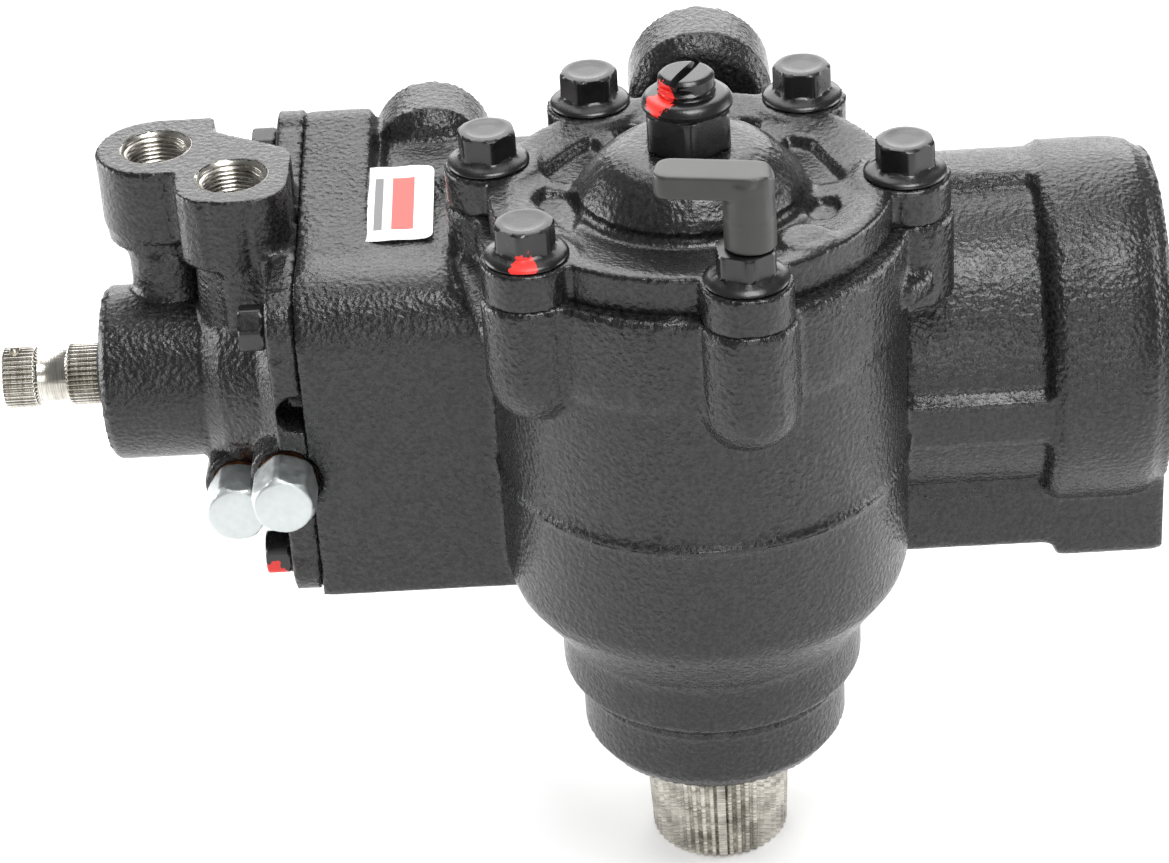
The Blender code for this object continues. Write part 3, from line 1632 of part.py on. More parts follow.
def bent_rod(name, route, radius, at):
    """A round rod along a route of (x, y) points, made from a curve with filled caps."""
    curve = bpy.data.curves.new(name, "CURVE")
    curve.dimensions = "3D"
    curve.bevel_depth = radius
    curve.bevel_resolution = 3
    curve.use_fill_caps = True
    spline = curve.splines.new("POLY")
    spline.points.add(len(route) - 1)
    for point, (x, y) in zip(spline.points, route):
        point.co = (x, y, 0, 1)
    guide = place(name + "_route", curve)
    bpy.context.view_layer.update()
    graph = bpy.context.evaluated_depsgraph_get()
    mesh = bpy.data.meshes.new_from_object(guide.evaluated_get(graph))
    bpy.data.objects.remove(guide, do_unlink=True)
    form = bmesh.new()
    form.from_mesh(mesh)
    bmesh.ops.remove_doubles(form, verts=form.verts, dist=0.000002)
    bmesh.ops.recalc_face_normals(form, faces=form.faces)
    form.to_mesh(mesh)
    form.free()
    return place(name, mesh, at)


def make_worm(steel, parent):
    """Ball worm with its head, hollow for the torsion bar."""
    worm = helix_form(
        "worm_shaft",
        WORM_R,
        BALL_CIRCLE_R,
        BALL_R + GROOVE_PLAY,
        RETURN_FIRST_X - rack_stroke() - LEAD / 2,
        WORM_END_X - 0.006,
        False,
    )
    neck_end = RETURN_FIRST_X - rack_stroke() - LEAD / 2
    head_x = worm_head_x()
    neck_r = WORM_R - 0.0012
    neck = turned_on_rack_axis(
        "worm_neck",
        [
            (0, neck_end + OVERLAP),
            (neck_r, neck_end + OVERLAP),
            (neck_r, head_x + WORM_HEAD_THICK),
            (WORM_HEAD_R - 0.0005, head_x + WORM_HEAD_THICK),
            (WORM_HEAD_R, head_x + WORM_HEAD_THICK - 0.0005),
            (WORM_HEAD_R, head_x + 0.0005),
            (WORM_HEAD_R - 0.0005, head_x),
            (0, head_x),
        ],
        SMALL_SIDES,
    )
    tail = turned_on_rack_axis(
        "worm_tail",
        [
            (0, WORM_END_X),
            (neck_r - 0.003, WORM_END_X),
            (neck_r - 0.0022, WORM_END_X - 0.0008),
            (neck_r - 0.0022, WORM_END_X - 0.006 - OVERLAP),
            (0, WORM_END_X - 0.006 - OVERLAP),
        ],
        FINE_SIDES,
    )
    join(worm, neck, tail)
    bar_bore = turned_on_rack_axis(
        "bar_bore",
        [
            (0, torsion_bar_end() + OVERLAP),
            (TORSION_BAR_R + TORSION_BAR_PLAY, torsion_bar_end() + GAP),
            (TORSION_BAR_R + TORSION_BAR_PLAY, head_x - OVERLAP),
            (0, head_x - OVERLAP),
        ],
        FINE_SIDES,
    )
    cut(worm, bar_bore)
    finish(worm, steel, parent)
    return worm


def torsion_bar_end():
    """Inner end of the torsion bar, in the worm."""
    return worm_head_x() + WORM_HEAD_THICK + 0.030


def make_bearings(ball_steel, steel):
    """Thrust bearings on both sides of the worm's head, and the ring that holds them."""
    inner_r = WORM_R + 0.0010
    outer = ring_part(
        "worm_bearing_outer",
        BEARING_R - GAP,
        SLEEVE_R + GAP,
        outer_bearing_x(),
        outer_bearing_x() + BEARING_THICK,
        MEDIUM_SIDES,
        True,
    )
    finish(outer, ball_steel)
    inner = ring_part(
        "worm_bearing_inner",
        BEARING_R - GAP,
        inner_r,
        inner_bearing_x(),
        inner_bearing_x() + BEARING_THICK,
        MEDIUM_SIDES,
        True,
    )
    finish(inner, ball_steel)
    retainer = ring_part(
        "bearing_retainer", BEARING_R - GAP, inner_r, retainer_x(), spigot_end_x(), MEDIUM_SIDES, True
    )
    for angle in (0, 90, 180, 270):
        notch = box(
            "spanner_notch",
            (spigot_end_x() - SPANNER_NOTCH_DEPTH, -SPANNER_NOTCH_WIDTH / 2, inner_r + 0.004),
            (spigot_end_x() + OVERLAP, SPANNER_NOTCH_WIDTH / 2, BEARING_R),
        )
        notch.location = (0, RACK_Y, 0)
        notch.rotation_euler = (radians(angle), 0, 0)
        cut(retainer, notch)
    finish(retainer, steel)


def valve_flange_outline(lobe_r):
    """Round the valve housing's bolts, as (y, z) points."""
    order = sorted(VALVE_BOLT_PLACES, key=lambda p: atan2(p[1], p[0] - RACK_Y))
    return belt(order, [lobe_r] * len(order), 5)


def port_block_outline():
    """Round both ports, square at the back, as (x, y) points."""
    back_x, back_y = PORT_RETURN
    front_x, front_y = PORT_SUPPLY
    left = back_x - RETURN_LOBE_R
    back = back_y + RETURN_LOBE_R
    step_x = front_x - SUPPLY_LOBE_R
    right = front_x + SUPPLY_LOBE_R
    front = front_y - SUPPLY_LOBE_R
    corners = [
        (left, back),
        (left, back_y - RETURN_LOBE_R),
        (step_x, back_y - RETURN_LOBE_R),
        (step_x, front),
        (right, front),
        (right, front_y + PORT_BLOCK_SHOULDER),
        (PORT_BLOCK_BACK_X, back - 0.0105),
        (PORT_BLOCK_BACK_X, back),
    ]
    round_r = RETURN_LOBE_R - FINE_GAP
    return rounded(corners, [round_r, round_r, 0.0015, 0.015, 0.012, 0.010, 0.003, 0.002], 4)


def port_cutter(name, place_xy):
    """Threaded port with its chamfer, and the drilled way down to the valve."""
    x, y = place_xy
    return turned(
        name,
        [
            (0, PORT_TOP_Z + OVERLAP),
            (PORT_CHAMFER_R + OVERLAP, PORT_TOP_Z + OVERLAP),
            (PORT_CHAMFER_R, PORT_TOP_Z),
            (PORT_R, PORT_TOP_Z - 0.0018),
            (PORT_R, PORT_TOP_Z - PORT_DEPTH),
            (PORT_WAY_R, PORT_TOP_Z - PORT_DEPTH - 0.003),
            (PORT_WAY_R, 0.010),
            (0, 0.010),
        ],
        SMALL_SIDES,
        (x, y, 0),
    )


def make_valve_housing(paint):
    """Valve housing: nose, neck, port block, bolted flange and the valve's bores."""
    face = valve_face_x()
    flange_x = face - VALVE_FLANGE_THICK
    housing = turned_on_rack_axis(
        "valve_housing",
        [
            (0, face),
            (BORE_R + 0.004, face),
            (BORE_R + 0.004, flange_x),
            (BORE_R - 0.002, flange_x - 0.006),
            (NOSE_R + 0.0050, NOSE_END_X + 0.006),
            (NOSE_R, NOSE_END_X),
            (NOSE_R, NOSE_X + 0.0025),
            (NOSE_R - 0.0008, NOSE_X + 0.0008),
            (NOSE_R - 0.0025, NOSE_X),
            (0, NOSE_X),
        ],
        LARGE_SIDES,
    )
    flange = section_along_x("valve_flange", valve_flange_outline(VALVE_LOBE_R), flange_x, face)
    spigot = turned_on_rack_axis(
        "valve_spigot",
        [
            (0, spigot_end_x()),
            (BORE_R - GAP - 0.0008, spigot_end_x()),
            (BORE_R - GAP, spigot_end_x() - 0.0008),
            (BORE_R - GAP, spigot_end_x() - SPIGOT_LIP),
            (BORE_R - GAP - 2 * SEAL_CORD_R, spigot_end_x() - SPIGOT_LIP),
            (BORE_R - GAP - 2 * SEAL_CORD_R, spigot_end_x() - SPIGOT_LIP - 2 * SEAL_CORD_R - 2 * GAP),
            (BORE_R - GAP, spigot_end_x() - SPIGOT_LIP - 2 * SEAL_CORD_R - 2 * GAP),
            (BORE_R - GAP, face - OVERLAP),
            (0, face - OVERLAP),
        ],
        LARGE_SIDES,
    )
    block = extruded("port_block", port_block_outline(), SUPPLY_LOBE_Z, PORT_TOP_Z)
    return_lobe = turned(
        "return_lobe",
        [
            (0, SUPPLY_LOBE_Z + OVERLAP),
            (RETURN_LOBE_R - 0.0010, SUPPLY_LOBE_Z + OVERLAP),
            (RETURN_LOBE_R - 0.0010, RETURN_LOBE_Z + 0.004),
            (RETURN_LOBE_R - 0.0040, RETURN_LOBE_Z),
            (0, RETURN_LOBE_Z),
        ],
        MEDIUM_SIDES,
        (PORT_RETURN[0], PORT_RETURN[1], 0),
    )
    return_neck = cylinder(
        "return_neck",
        NECK_R,
        0,
        RETURN_LOBE_Z + OVERLAP,
        (PORT_RETURN[0] + RETURN_NECK_SHIFT[0], PORT_RETURN[1] + RETURN_NECK_SHIFT[1], 0),
        segments=SMALL_SIDES,
    )
    supply_neck = turned(
        "supply_neck",
        [
            (0, SUPPLY_LOBE_Z + OVERLAP),
            (SUPPLY_LOBE_R - 0.004, SUPPLY_LOBE_Z + OVERLAP),
            (SUPPLY_LOBE_R - 0.0035, SUPPLY_LOBE_Z - 0.008),
            (SUPPLY_LOBE_R - 0.002, 0),
            (0, 0),
        ],
        SMALL_SIDES,
        (PORT_SUPPLY[0], PORT_SUPPLY[1], 0),
    )
    web = box(
        "valve_web",
        (PORT_SUPPLY[0] - 0.006, PORT_SUPPLY[1] - 0.018, -0.010),
        (face - OVERLAP, PORT_SUPPLY[1] + 0.016, SUPPLY_LOBE_Z + 0.006),
        0.004,
    )
    join(housing, flange, block, return_lobe, return_neck, supply_neck, web)
    add_plug_bosses(housing)
    past_face = box("past_joint_face", (face, -0.2, -0.1), (face + VALVE_SPIGOT + OVERLAP, 0.05, 0.1))
    cut(housing, past_face)
    join(housing, spigot)
    cut_valve_housing(housing)
    return finish(housing, paint)


def plug_places():
    return (
        ("front", FRONT_PLUG, FRONT_PLUG_SEAT_Y),
        ("rear", REAR_PLUG, REAR_PLUG_SEAT_Y),
    )


def add_plug_bosses(housing):
    """Round bosses that the two hexagon plugs are screwed into."""
    for name, (x, z), seat_y in plug_places():
        boss = cylinder(
            name + "_plug_boss", PLUG_BOSS_R, seat_y, RACK_Y - NOSE_R * 0.5, (x, 0, z), ALONG_Y, 32
        )
        join(housing, boss)


def plug_spot_faces():
    """Room for the hexagon plugs in front of their seats."""
    spots = []
    for name, (x, z), seat_y in plug_places():
        radius = PLUG_FLATS / sqrt(3) + 2 * GAP
        spots.append(
            cylinder(
                name + "_spot_face",
                radius,
                seat_y - 2 * PLUG_HEIGHT,
                seat_y,
                (x, 0, z),
                ALONG_Y,
                SMALL_SIDES,
            )
        )
    return spots


def cut_valve_housing(housing):
    """Ports, valve bore, bearing and seal seats, plug threads, bolt holes and the notch."""
    bearing_bore = turned_on_rack_axis(
        "valve_bores",
        [
            (0, spigot_end_x() + OVERLAP),
            (BEARING_R, spigot_end_x() + OVERLAP),
            (BEARING_R, outer_bearing_x() - GAP),
            (SLEEVE_R + GAP, outer_bearing_x() - GAP),
            (SLEEVE_R + GAP, sleeve_start_x() - GAP),
            (input_bearing_outer_r() + GAP, sleeve_start_x() - GAP),
            (input_bearing_outer_r() + GAP, input_bearing_x() - GAP),
            (INPUT_R + 0.0015, input_bearing_x() - GAP),
            (INPUT_R + 0.0015, input_bearing_x() - OVERLAP + GAP),
            (input_bearing_outer_r() + GAP, input_bearing_x() - OVERLAP + GAP),
            (input_bearing_outer_r() + GAP, NOSE_X - OVERLAP),
            (0, NOSE_X - OVERLAP),
        ],
        MEDIUM_SIDES,
    )
    return_port = port_cutter("return_port", PORT_RETURN)
    supply_port = port_cutter("supply_port", PORT_SUPPLY)
    cut(housing, return_port, supply_port, bearing_bore)
    cut(housing, *plug_spot_faces())
    for name, (x, z), seat_y in plug_places():
        end_y = seat_y + PLUG_THREAD_LENGTH + OVERLAP
        hole = cylinder(
            name + "_plug_hole",
            PLUG_THREAD_R + GAP,
            seat_y - OVERLAP,
            end_y,
            (x, 0, z),
            ALONG_Y,
            FINE_SIDES,
        )
        cut(housing, hole)
    face = valve_face_x()
    for y, z in VALVE_BOLT_PLACES:
        low = face - VALVE_FLANGE_THICK - 0.001
        hole = cylinder(
            "flange_hole",
            VALVE_BOLT_R + GAP,
            low - OVERLAP,
            face + OVERLAP,
            (0, y, z),
            ALONG_X,
            FINE_SIDES,
        )
        spot = cylinder(
            "spot_face",
            VALVE_BOLT_FLATS * SPOT_FACE_SHARE,
            low - SPOT_FACE_DEPTH,
            face - VALVE_FLANGE_THICK,
            (0, y, z),
            ALONG_X,
            FINE_SIDES,
        )
        cut(housing, spot, hole)
    notch = cylinder(
        "casting_notch",
        CASTING_NOTCH_R,
        *CASTING_NOTCH_Y,
        (face - OVERLAP, 0, CASTING_NOTCH_Z),
        ALONG_Y,
        FINE_SIDES,
    )
    cut(housing, notch)


def input_bearing_outer_r():
    return INPUT_R + GAP + INPUT_BEARING_WALL


def make_valve_bolts(steel):
    """Hexagon bolts that hold the valve housing on, on one shared mesh."""
    grip = VALVE_BOLT_GRIP
    head = hex_head("valve_bolt_head", VALVE_BOLT_FLATS, 0.001, VALVE_BOLT_HEAD, 0.0007)
    bolt = turned(
        "valve_bolt_1",
        [
            (0, 0.0016),
            (VALVE_BOLT_FLATS / 2 - 0.0002, 0.0016),
            (VALVE_BOLT_FLATS / 2 - 0.0002, 0),
            (VALVE_BOLT_R, 0),
            (VALVE_BOLT_R, 0.001 - grip),
            (VALVE_BOLT_R - 0.001, -grip),
            (0, -grip),
        ],
        FINE_SIDES,
    )
    join(bolt, head)
    finish(bolt, steel)
    seat_x = valve_face_x() - VALVE_FLANGE_THICK - GAP
    for number, (y, z) in enumerate(VALVE_BOLT_PLACES, 1):
        at = (seat_x, y, z)
        turn = (0, -pi / 2, 0)
        if number == 1:
            bolt.location = at
            bolt.rotation_euler = turn
        else:
            copy_of(bolt, f"valve_bolt_{number}", at, turn)


def make_hex_plugs(zinc, copper):
    """The two zinc-plated hexagon plugs and their sealing washers."""
    for name, (x, z), seat_y in plug_places():
        washer = turned(
            name + "_plug_washer",
            [
                (PLUG_FLATS / 2, PLUG_WASHER_THICK),
                (PLUG_FLATS / 2, 0),
                (PLUG_THREAD_R + GAP, 0),
                (PLUG_THREAD_R + GAP, PLUG_WASHER_THICK),
            ],
            SMALL_SIDES,
            (x, seat_y - GAP, z),
            (pi / 2, 0, 0),
        )
        finish(washer, copper)
        foot = PLUG_WASHER_THICK + GAP
        head = hex_head(name + "_hex_plug_head", PLUG_FLATS, foot, foot + PLUG_HEIGHT, 0.0010)
        plug = turned(
            name + "_hex_plug",
            [
                (0, foot + 0.002),
                (PLUG_THREAD_R, foot + 0.002),
                (PLUG_THREAD_R, -PLUG_THREAD_LENGTH + 0.001),
                (PLUG_THREAD_R - 0.001, -PLUG_THREAD_LENGTH),
                (0, -PLUG_THREAD_LENGTH),
            ],
            SMALL_SIDES,
        )
        join(plug, head)
        bake(plug)
        plug.location = (x, seat_y - GAP, z)
        plug.rotation_euler = (pi / 2, 0, 0)
        finish(plug, zinc)


def make_valve_core(steel, parent):
    """Valve sleeve, which turns with the worm."""
    sleeve = turned_on_rack_axis("valve_sleeve", sleeve_profile(), SMALL_SIDES)
    return finish(sleeve, steel, parent)


def sleeve_profile():
    """Outside with three sealing lands and the oil grooves between, from right to left."""
    start, end = sleeve_start_x(), sleeve_end_x()
    land = (end - start) / 7
    outer = SLEEVE_R
    inner = outer - 0.0016
    profile = [(outer, end)]
    for number in (1, 3, 5):
        profile.append((outer, end - number * land))
        profile.append((inner, end - number * land))
        profile.append((inner, end - (number + 1) * land))
        profile.append((outer, end - (number + 1) * land))
    profile.append((outer, start))
    profile.append((INPUT_R + GAP, start))
    profile.append((INPUT_R + GAP, end))
    return profile


def make_input_shaft(steel, parent):
    """Input shaft and spool in one, serrated outside and slotted in the valve."""
    end = worm_head_x() - GAP
    radius = INPUT_R
    groove_left, groove_right = CLAMP_GROOVE
    waist = radius - CLAMP_GROOVE_DEPTH
    core = radius - INPUT_SERRATION_DEPTH - 3 * FINE_GAP
    shaft = turned_on_rack_axis(
        "input_shaft",
        [
            (0, end),
            (radius - 0.0006, end),
            (radius, end - 0.0006),
            (radius, SERRATION_INNER_X),
            (core, SERRATION_INNER_X - 0.0006),
            (core, groove_right + 0.0010),
            (waist, groove_right - 0.0006),
            (waist, groove_left + 0.0006),
            (core, groove_left - 0.0010),
            (core, INPUT_END_X + 0.0006),
            (0, INPUT_END_X + 0.0006),
        ],
        SMALL_SIDES,
    )
    section = star_section(INPUT_SERRATIONS, radius - FINE_GAP, INPUT_SERRATION_DEPTH)
    for low, high in ((groove_right, SERRATION_INNER_X + OVERLAP), (INPUT_END_X, groove_left)):
        teeth = extruded("input_serration", section, low, high, (0, RACK_Y, 0), ALONG_X)
        join(shaft, teeth)
    bar_bore = turned_on_rack_axis(
        "input_bore",
        [
            (0, end + OVERLAP),
            (TORSION_BAR_R + TORSION_BAR_PLAY, end + OVERLAP),
            (TORSION_BAR_R + TORSION_BAR_PLAY, CROSS_PIN_X + 0.010),
            (TORSION_BAR_R + GAP, CROSS_PIN_X + 0.009),
            (TORSION_BAR_R + GAP, INPUT_END_X - OVERLAP),
            (0, INPUT_END_X - OVERLAP),
        ],
        FINE_SIDES,
    )
    pin_hole = cylinder(
        "pin_hole",
        CROSS_PIN_R + GAP,
        -radius - OVERLAP,
        radius + OVERLAP,
        (CROSS_PIN_X, RACK_Y, 0),
        ALONG_Y,
        SMALL_SIDES,
    )
    cut(shaft, bar_bore, pin_hole)
    finish(shaft, steel, parent)


def make_torsion_bar(steel, parent):
    """Torsion bar between the input shaft and the worm, and its cross pin."""
    end = torsion_bar_end()
    head_r = TORSION_BAR_R
    waist_r = TORSION_BAR_R - 0.0007
    bar = turned_on_rack_axis(
        "torsion_bar",
        [
            (0, end),
            (head_r - 0.0005, end),
            (head_r, end - 0.0005),
            (head_r, end - 0.014),
            (waist_r, end - 0.018),
            (waist_r, CROSS_PIN_X + 0.016),
            (head_r, CROSS_PIN_X + 0.012),
            (head_r, INPUT_END_X + 0.0016),
            (head_r - 0.0005, INPUT_END_X + 0.0010),
            (0, INPUT_END_X + 0.0010),
        ],
        FINE_SIDES,
    )
    pin_hole = cylinder(
        "bar_pin_hole", CROSS_PIN_R + FINE_GAP, -INPUT_R, INPUT_R, (CROSS_PIN_X, RACK_Y, 0), ALONG_Y, 16
    )
    cut(bar, pin_hole)
    finish(bar, steel, parent)
    half = INPUT_R - INPUT_SERRATION_DEPTH - GAP
    pin = cylinder("torsion_bar_pin", CROSS_PIN_R, -half, half, (CROSS_PIN_X, RACK_Y, 0), ALONG_Y, FINE_SIDES)
    finish(pin, steel, parent)


def make_input_rings(steel, rubber):
    """Needle bearing, oil seal and dust ring of the input shaft, and the housing's O-ring."""
    low = input_bearing_x()
    needle = ring_part(
        "input_needle_bearing",
        input_bearing_outer_r(),
        INPUT_R + GAP,
        low,
        low + INPUT_BEARING_LENGTH,
        SMALL_SIDES,
        True,
    )
    finish(needle, steel)
    low = NOSE_X + INPUT_SEAL_INSET
    seal = ring_part(
        "input_shaft_seal",
        input_bearing_outer_r(),
        INPUT_R + GAP,
        low,
        low + INPUT_SEAL_LENGTH,
        SMALL_SIDES,
        True,
    )
    finish(seal, rubber)
    dust = turned_on_rack_axis(
        "input_dust_seal",
        [
            (DUST_RING_R, NOSE_X - GAP),
            (DUST_RING_R, NOSE_X - GAP - DUST_RING_THICK * 0.5),
            (INPUT_R + 0.0015, NOSE_X - GAP - DUST_RING_THICK),
            (INPUT_R + GAP, NOSE_X - GAP - DUST_RING_THICK),
            (INPUT_R + GAP, NOSE_X - GAP),
        ],
        SMALL_SIDES,
    )
    finish(dust, rubber)
    cord_x = spigot_end_x() - SPIGOT_LIP - GAP - SEAL_CORD_R
    ring = seal_cord(
        "valve_housing_seal",
        BORE_R - SEAL_CORD_R - GAP / 2,
        SEAL_CORD_R,
        (cord_x, RACK_Y, 0),
        ALONG_X,
        LARGE_SIDES,
    )
    finish(ring, rubber)


def make_end_plug(steel, rubber):
    """Plug that closes the rack cylinder, its O-ring and the ring that holds it in."""
    low = PLUG_SEAT_X + GAP
    high = low + PLUG_THICK
    radius = plug_bore_r() - GAP
    groove = low + 0.004
    plug = turned_on_rack_axis(
        "end_plug",
        [
            (0, high - PLUG_HOLE_DEPTH),
            (PLUG_HOLE_R, high - PLUG_HOLE_DEPTH + 0.002),
            (PLUG_HOLE_R, high),
            (radius, high),
            (radius, groove + 2 * SEAL_CORD_R + 2 * GAP),
            (radius - 2 * SEAL_CORD_R, groove + 2 * SEAL_CORD_R + 2 * GAP),
            (radius - 2 * SEAL_CORD_R, groove),
            (radius, groove),
            (radius, low),
            (0, low),
        ],
        LARGE_SIDES,
    )
    finish(plug, steel)
    cord_x = groove + GAP + SEAL_CORD_R
    cord_r = plug_bore_r() - SEAL_CORD_R - GAP / 2
    finish(seal_cord("end_plug_seal", cord_r, SEAL_CORD_R, (cord_x, RACK_Y, 0), ALONG_X, LARGE_SIDES), rubber)
    ring = ring_part(
        "end_retaining_ring",
        plug_bore_r() + SNAP_RING_DEPTH - GAP,
        plug_bore_r() - 0.0035,
        end_ring_x(),
        end_ring_x() + END_RING_WIDTH,
        LARGE_SIDES,
        True,
    )
    opening = box(
        "end_ring_gap",
        (end_ring_x() - OVERLAP, RACK_Y - 0.005, 0.020),
        (end_ring_x() + END_RING_WIDTH + OVERLAP, RACK_Y + 0.005, 0.060),
    )
    cut(ring, opening)
    finish(ring, steel)


start_scene()
black_paint = make_material("black_paint", "232424", 0.45, 0.0)
black_steel = make_material("black_steel", "2a2b2d", 0.45, 0.5)
bright_steel = make_material("bright_steel", "b4b1ab", 0.35, 1.0)
ground_steel = make_material("ground_steel", "c4c6c8", 0.22, 1.0)
zinc_plate = make_material("zinc_plate", "c6caca", 0.35, 1.0)
bronze = make_material("bronze", "a5763e", 0.40, 1.0)
copper = make_material("copper", "b0693f", 0.40, 1.0)
rubber = make_material("rubber", "1c1c1d", 0.75, 0.0)

sector_axis = axis_empty("sector_axis", (0, SECTOR_Y, 0))
rack_axis = axis_empty("rack_axis", (0, RACK_Y, 0))
worm_axis = axis_empty("worm_axis", (0, RACK_Y, 0))
input_axis = axis_empty("input_axis", (0, RACK_Y, 0))

make_main_housing(black_paint)
make_cover(black_paint)
make_cover_bolts(black_steel)
make_vent(black_steel, rubber)
make_adjuster(bright_steel, black_steel)
make_static_rings(bright_steel, bronze, rubber)
make_sector_shaft(bright_steel, sector_axis)
make_rack(bright_steel, ground_steel, rack_axis)
make_ball_circuit(ground_steel, rack_axis)
make_worm(bright_steel, worm_axis)
make_valve_core(ground_steel, worm_axis)
make_bearings(ground_steel, bright_steel)
make_valve_housing(black_paint)
make_valve_bolts(black_steel)
make_hex_plugs(zinc_plate, copper)
make_input_shaft(bright_steel, input_axis)
make_torsion_bar(ground_steel, input_axis)
make_input_rings(bright_steel, rubber)
make_end_plug(bright_steel, rubber)
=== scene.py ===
from math import cos, pi, radians, sin, sqrt

import bmesh
import bpy
import numpy as np
from mathutils import Matrix, Vector


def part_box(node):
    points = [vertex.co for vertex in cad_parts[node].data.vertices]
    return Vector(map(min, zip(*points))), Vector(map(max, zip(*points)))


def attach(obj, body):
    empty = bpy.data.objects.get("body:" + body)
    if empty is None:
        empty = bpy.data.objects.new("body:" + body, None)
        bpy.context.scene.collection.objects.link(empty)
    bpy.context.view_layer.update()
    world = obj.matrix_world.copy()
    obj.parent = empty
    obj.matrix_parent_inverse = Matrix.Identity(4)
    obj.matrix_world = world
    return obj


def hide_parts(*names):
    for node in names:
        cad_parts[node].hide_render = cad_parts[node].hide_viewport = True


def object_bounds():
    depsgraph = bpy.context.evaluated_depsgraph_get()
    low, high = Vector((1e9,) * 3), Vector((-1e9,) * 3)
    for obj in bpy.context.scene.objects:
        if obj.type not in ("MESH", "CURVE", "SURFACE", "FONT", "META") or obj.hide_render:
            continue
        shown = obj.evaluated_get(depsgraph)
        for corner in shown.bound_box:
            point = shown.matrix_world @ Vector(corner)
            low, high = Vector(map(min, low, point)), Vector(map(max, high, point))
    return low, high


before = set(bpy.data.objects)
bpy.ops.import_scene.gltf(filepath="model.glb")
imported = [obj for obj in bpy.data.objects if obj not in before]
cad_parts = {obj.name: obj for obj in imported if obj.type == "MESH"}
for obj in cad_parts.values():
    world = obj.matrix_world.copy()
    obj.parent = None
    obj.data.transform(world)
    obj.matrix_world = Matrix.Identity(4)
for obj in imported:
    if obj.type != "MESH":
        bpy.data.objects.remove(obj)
cad_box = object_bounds()


# Main housing: one grey-iron sand casting round the sector shaft and the rack's cylinder.
# It is sprayed with satin black enamel over the raw casting, so the sand's grain and the
# parting line show through, and only the joint faces and the frame pads are machined flat.

SECTOR_Y = -0.120
RACK_Y = -0.066


def linear(hex_colour):
    """An sRGB hex colour as linear RGBA: c / 12.92 up to 0.04045, else ((c + 0.055) / 1.055) ^ 2.4."""
    shares = [int(hex_colour[i:i + 2], 16) / 255 for i in (0, 2, 4)]
    return [c / 12.92 if c <= 0.04045 else ((c + 0.055) / 1.055) ** 2.4 for c in shares] + [1]


def add_node(tree, kind, settings=None, feeds=None):
    """Adds a node, sets its attributes or its sockets' values, and links what feeds its sockets."""
    node = tree.nodes.new(kind)
    for name, value in (settings or {}).items():
        if isinstance(name, str) and hasattr(node, name):
            setattr(node, name, value)
        else:
            node.inputs[name].default_value = value
    for socket, source in (feeds or {}).items():
        tree.links.new(source, node.inputs[socket])
    return node


def new_material(name):
    """An empty node material with its output, and its object coordinates in metres."""
    material = bpy.data.materials.new(name)
    material.use_nodes = True
    tree = material.node_tree
    tree.nodes.clear()
    output = add_node(tree, "ShaderNodeOutputMaterial")
    place = add_node(tree, "ShaderNodeTexCoord")
    return material, tree, output, place.outputs["Object"]


def black_enamel(name, grit_mm, grain_height_mm, colour="0b0b0c"):
    """Satin black enamel on a sand casting.

    The sand's grain is a lumpy noise of grit_mm with pits, and the paint film lies over it
    as a softer orange peel, so light breaks into small glints on the walls. Its colour is
    painted lighter on the grain's peaks and darker in its pits: painted highlight and painted shade.
    """
    material, tree, output, place = new_material(name)
    lumps = add_node(tree, "ShaderNodeTexNoise", {"Scale": 1000 / grit_mm, "Detail": 3.0, "Roughness": 0.55},
                     {"Vector": place})
    pits = add_node(tree, "ShaderNodeTexVoronoi", {"feature": "SMOOTH_F1", "Scale": 1000 / (grit_mm * 1.3),
                    "Smoothness": 0.6}, {"Vector": place})
    height = add_node(tree, "ShaderNodeMath", {"operation": "MULTIPLY_ADD", 1: 0.7},
                      {0: pits.outputs["Distance"], 2: lumps.outputs["Fac"]})
    broad = add_node(tree, "ShaderNodeTexNoise", {"Scale": 1000 / 26, "Detail": 2.0}, {"Vector": place})
    amount = add_node(tree, "ShaderNodeMapRange", {"From Min": 0.3, "From Max": 0.7, "To Min": 0.45,
                      "To Max": 1.0}, {"Value": broad.outputs["Fac"]})
    bump = add_node(tree, "ShaderNodeBump", {"Distance": grain_height_mm / 1000},
                    {"Height": height.outputs[0], "Strength": amount.outputs[0]})
    # Painted highlight and painted shade: the grain's peaks are painted lighter and its pits darker.
    painted_peak_light = add_node(tree, "ShaderNodeMapRange", {"From Min": 0.38, "From Max": 0.62},
                     {"Value": lumps.outputs["Fac"]})
    tint = add_node(tree, "ShaderNodeMix", {"data_type": "RGBA", 6: linear(colour), 7: linear("29292a")},
                    {0: painted_peak_light.outputs[0]})
    gloss = add_node(tree, "ShaderNodeMapRange", {"From Min": 0.3, "From Max": 0.7, "To Min": 0.36,
                     "To Max": 0.15}, {"Value": lumps.outputs["Fac"]})
    shader = add_node(tree, "ShaderNodeBsdfPrincipled", {"IOR": 1.5, "Specular IOR Level": 0.5},
                      {"Base Color": tint.outputs[2], "Roughness": gloss.outputs[0],
                       "Normal": bump.outputs[0]})
    tree.links.new(shader.outputs[0], output.inputs[0])
    return material


def lattice_noise(points, size, seed):
    """Smooth noise from 0 to 1: random values at the corners of cells of this size, and between
    them the mean of a cell's eight corners weighted by t * t * (3 - 2 * t) along each axis."""
    cells = np.floor(points / size).astype(np.int64)
    t = points / size - cells
    t = t * t * (3 - 2 * t)
    total = np.zeros(len(points))
    for corner in range(8):
        step = np.array([corner & 1, corner >> 1 & 1, corner >> 2 & 1])
        key = ((cells + step) * np.array([73856093, 19349663, 83492791])).sum(axis=1) + seed * 7919
        value = (key * 1103515245 + 12345) % 2147483648 / 2147483648
        weight = np.where(step == 1, t, 1 - t).prod(axis=1)
        total += weight * value
    return total


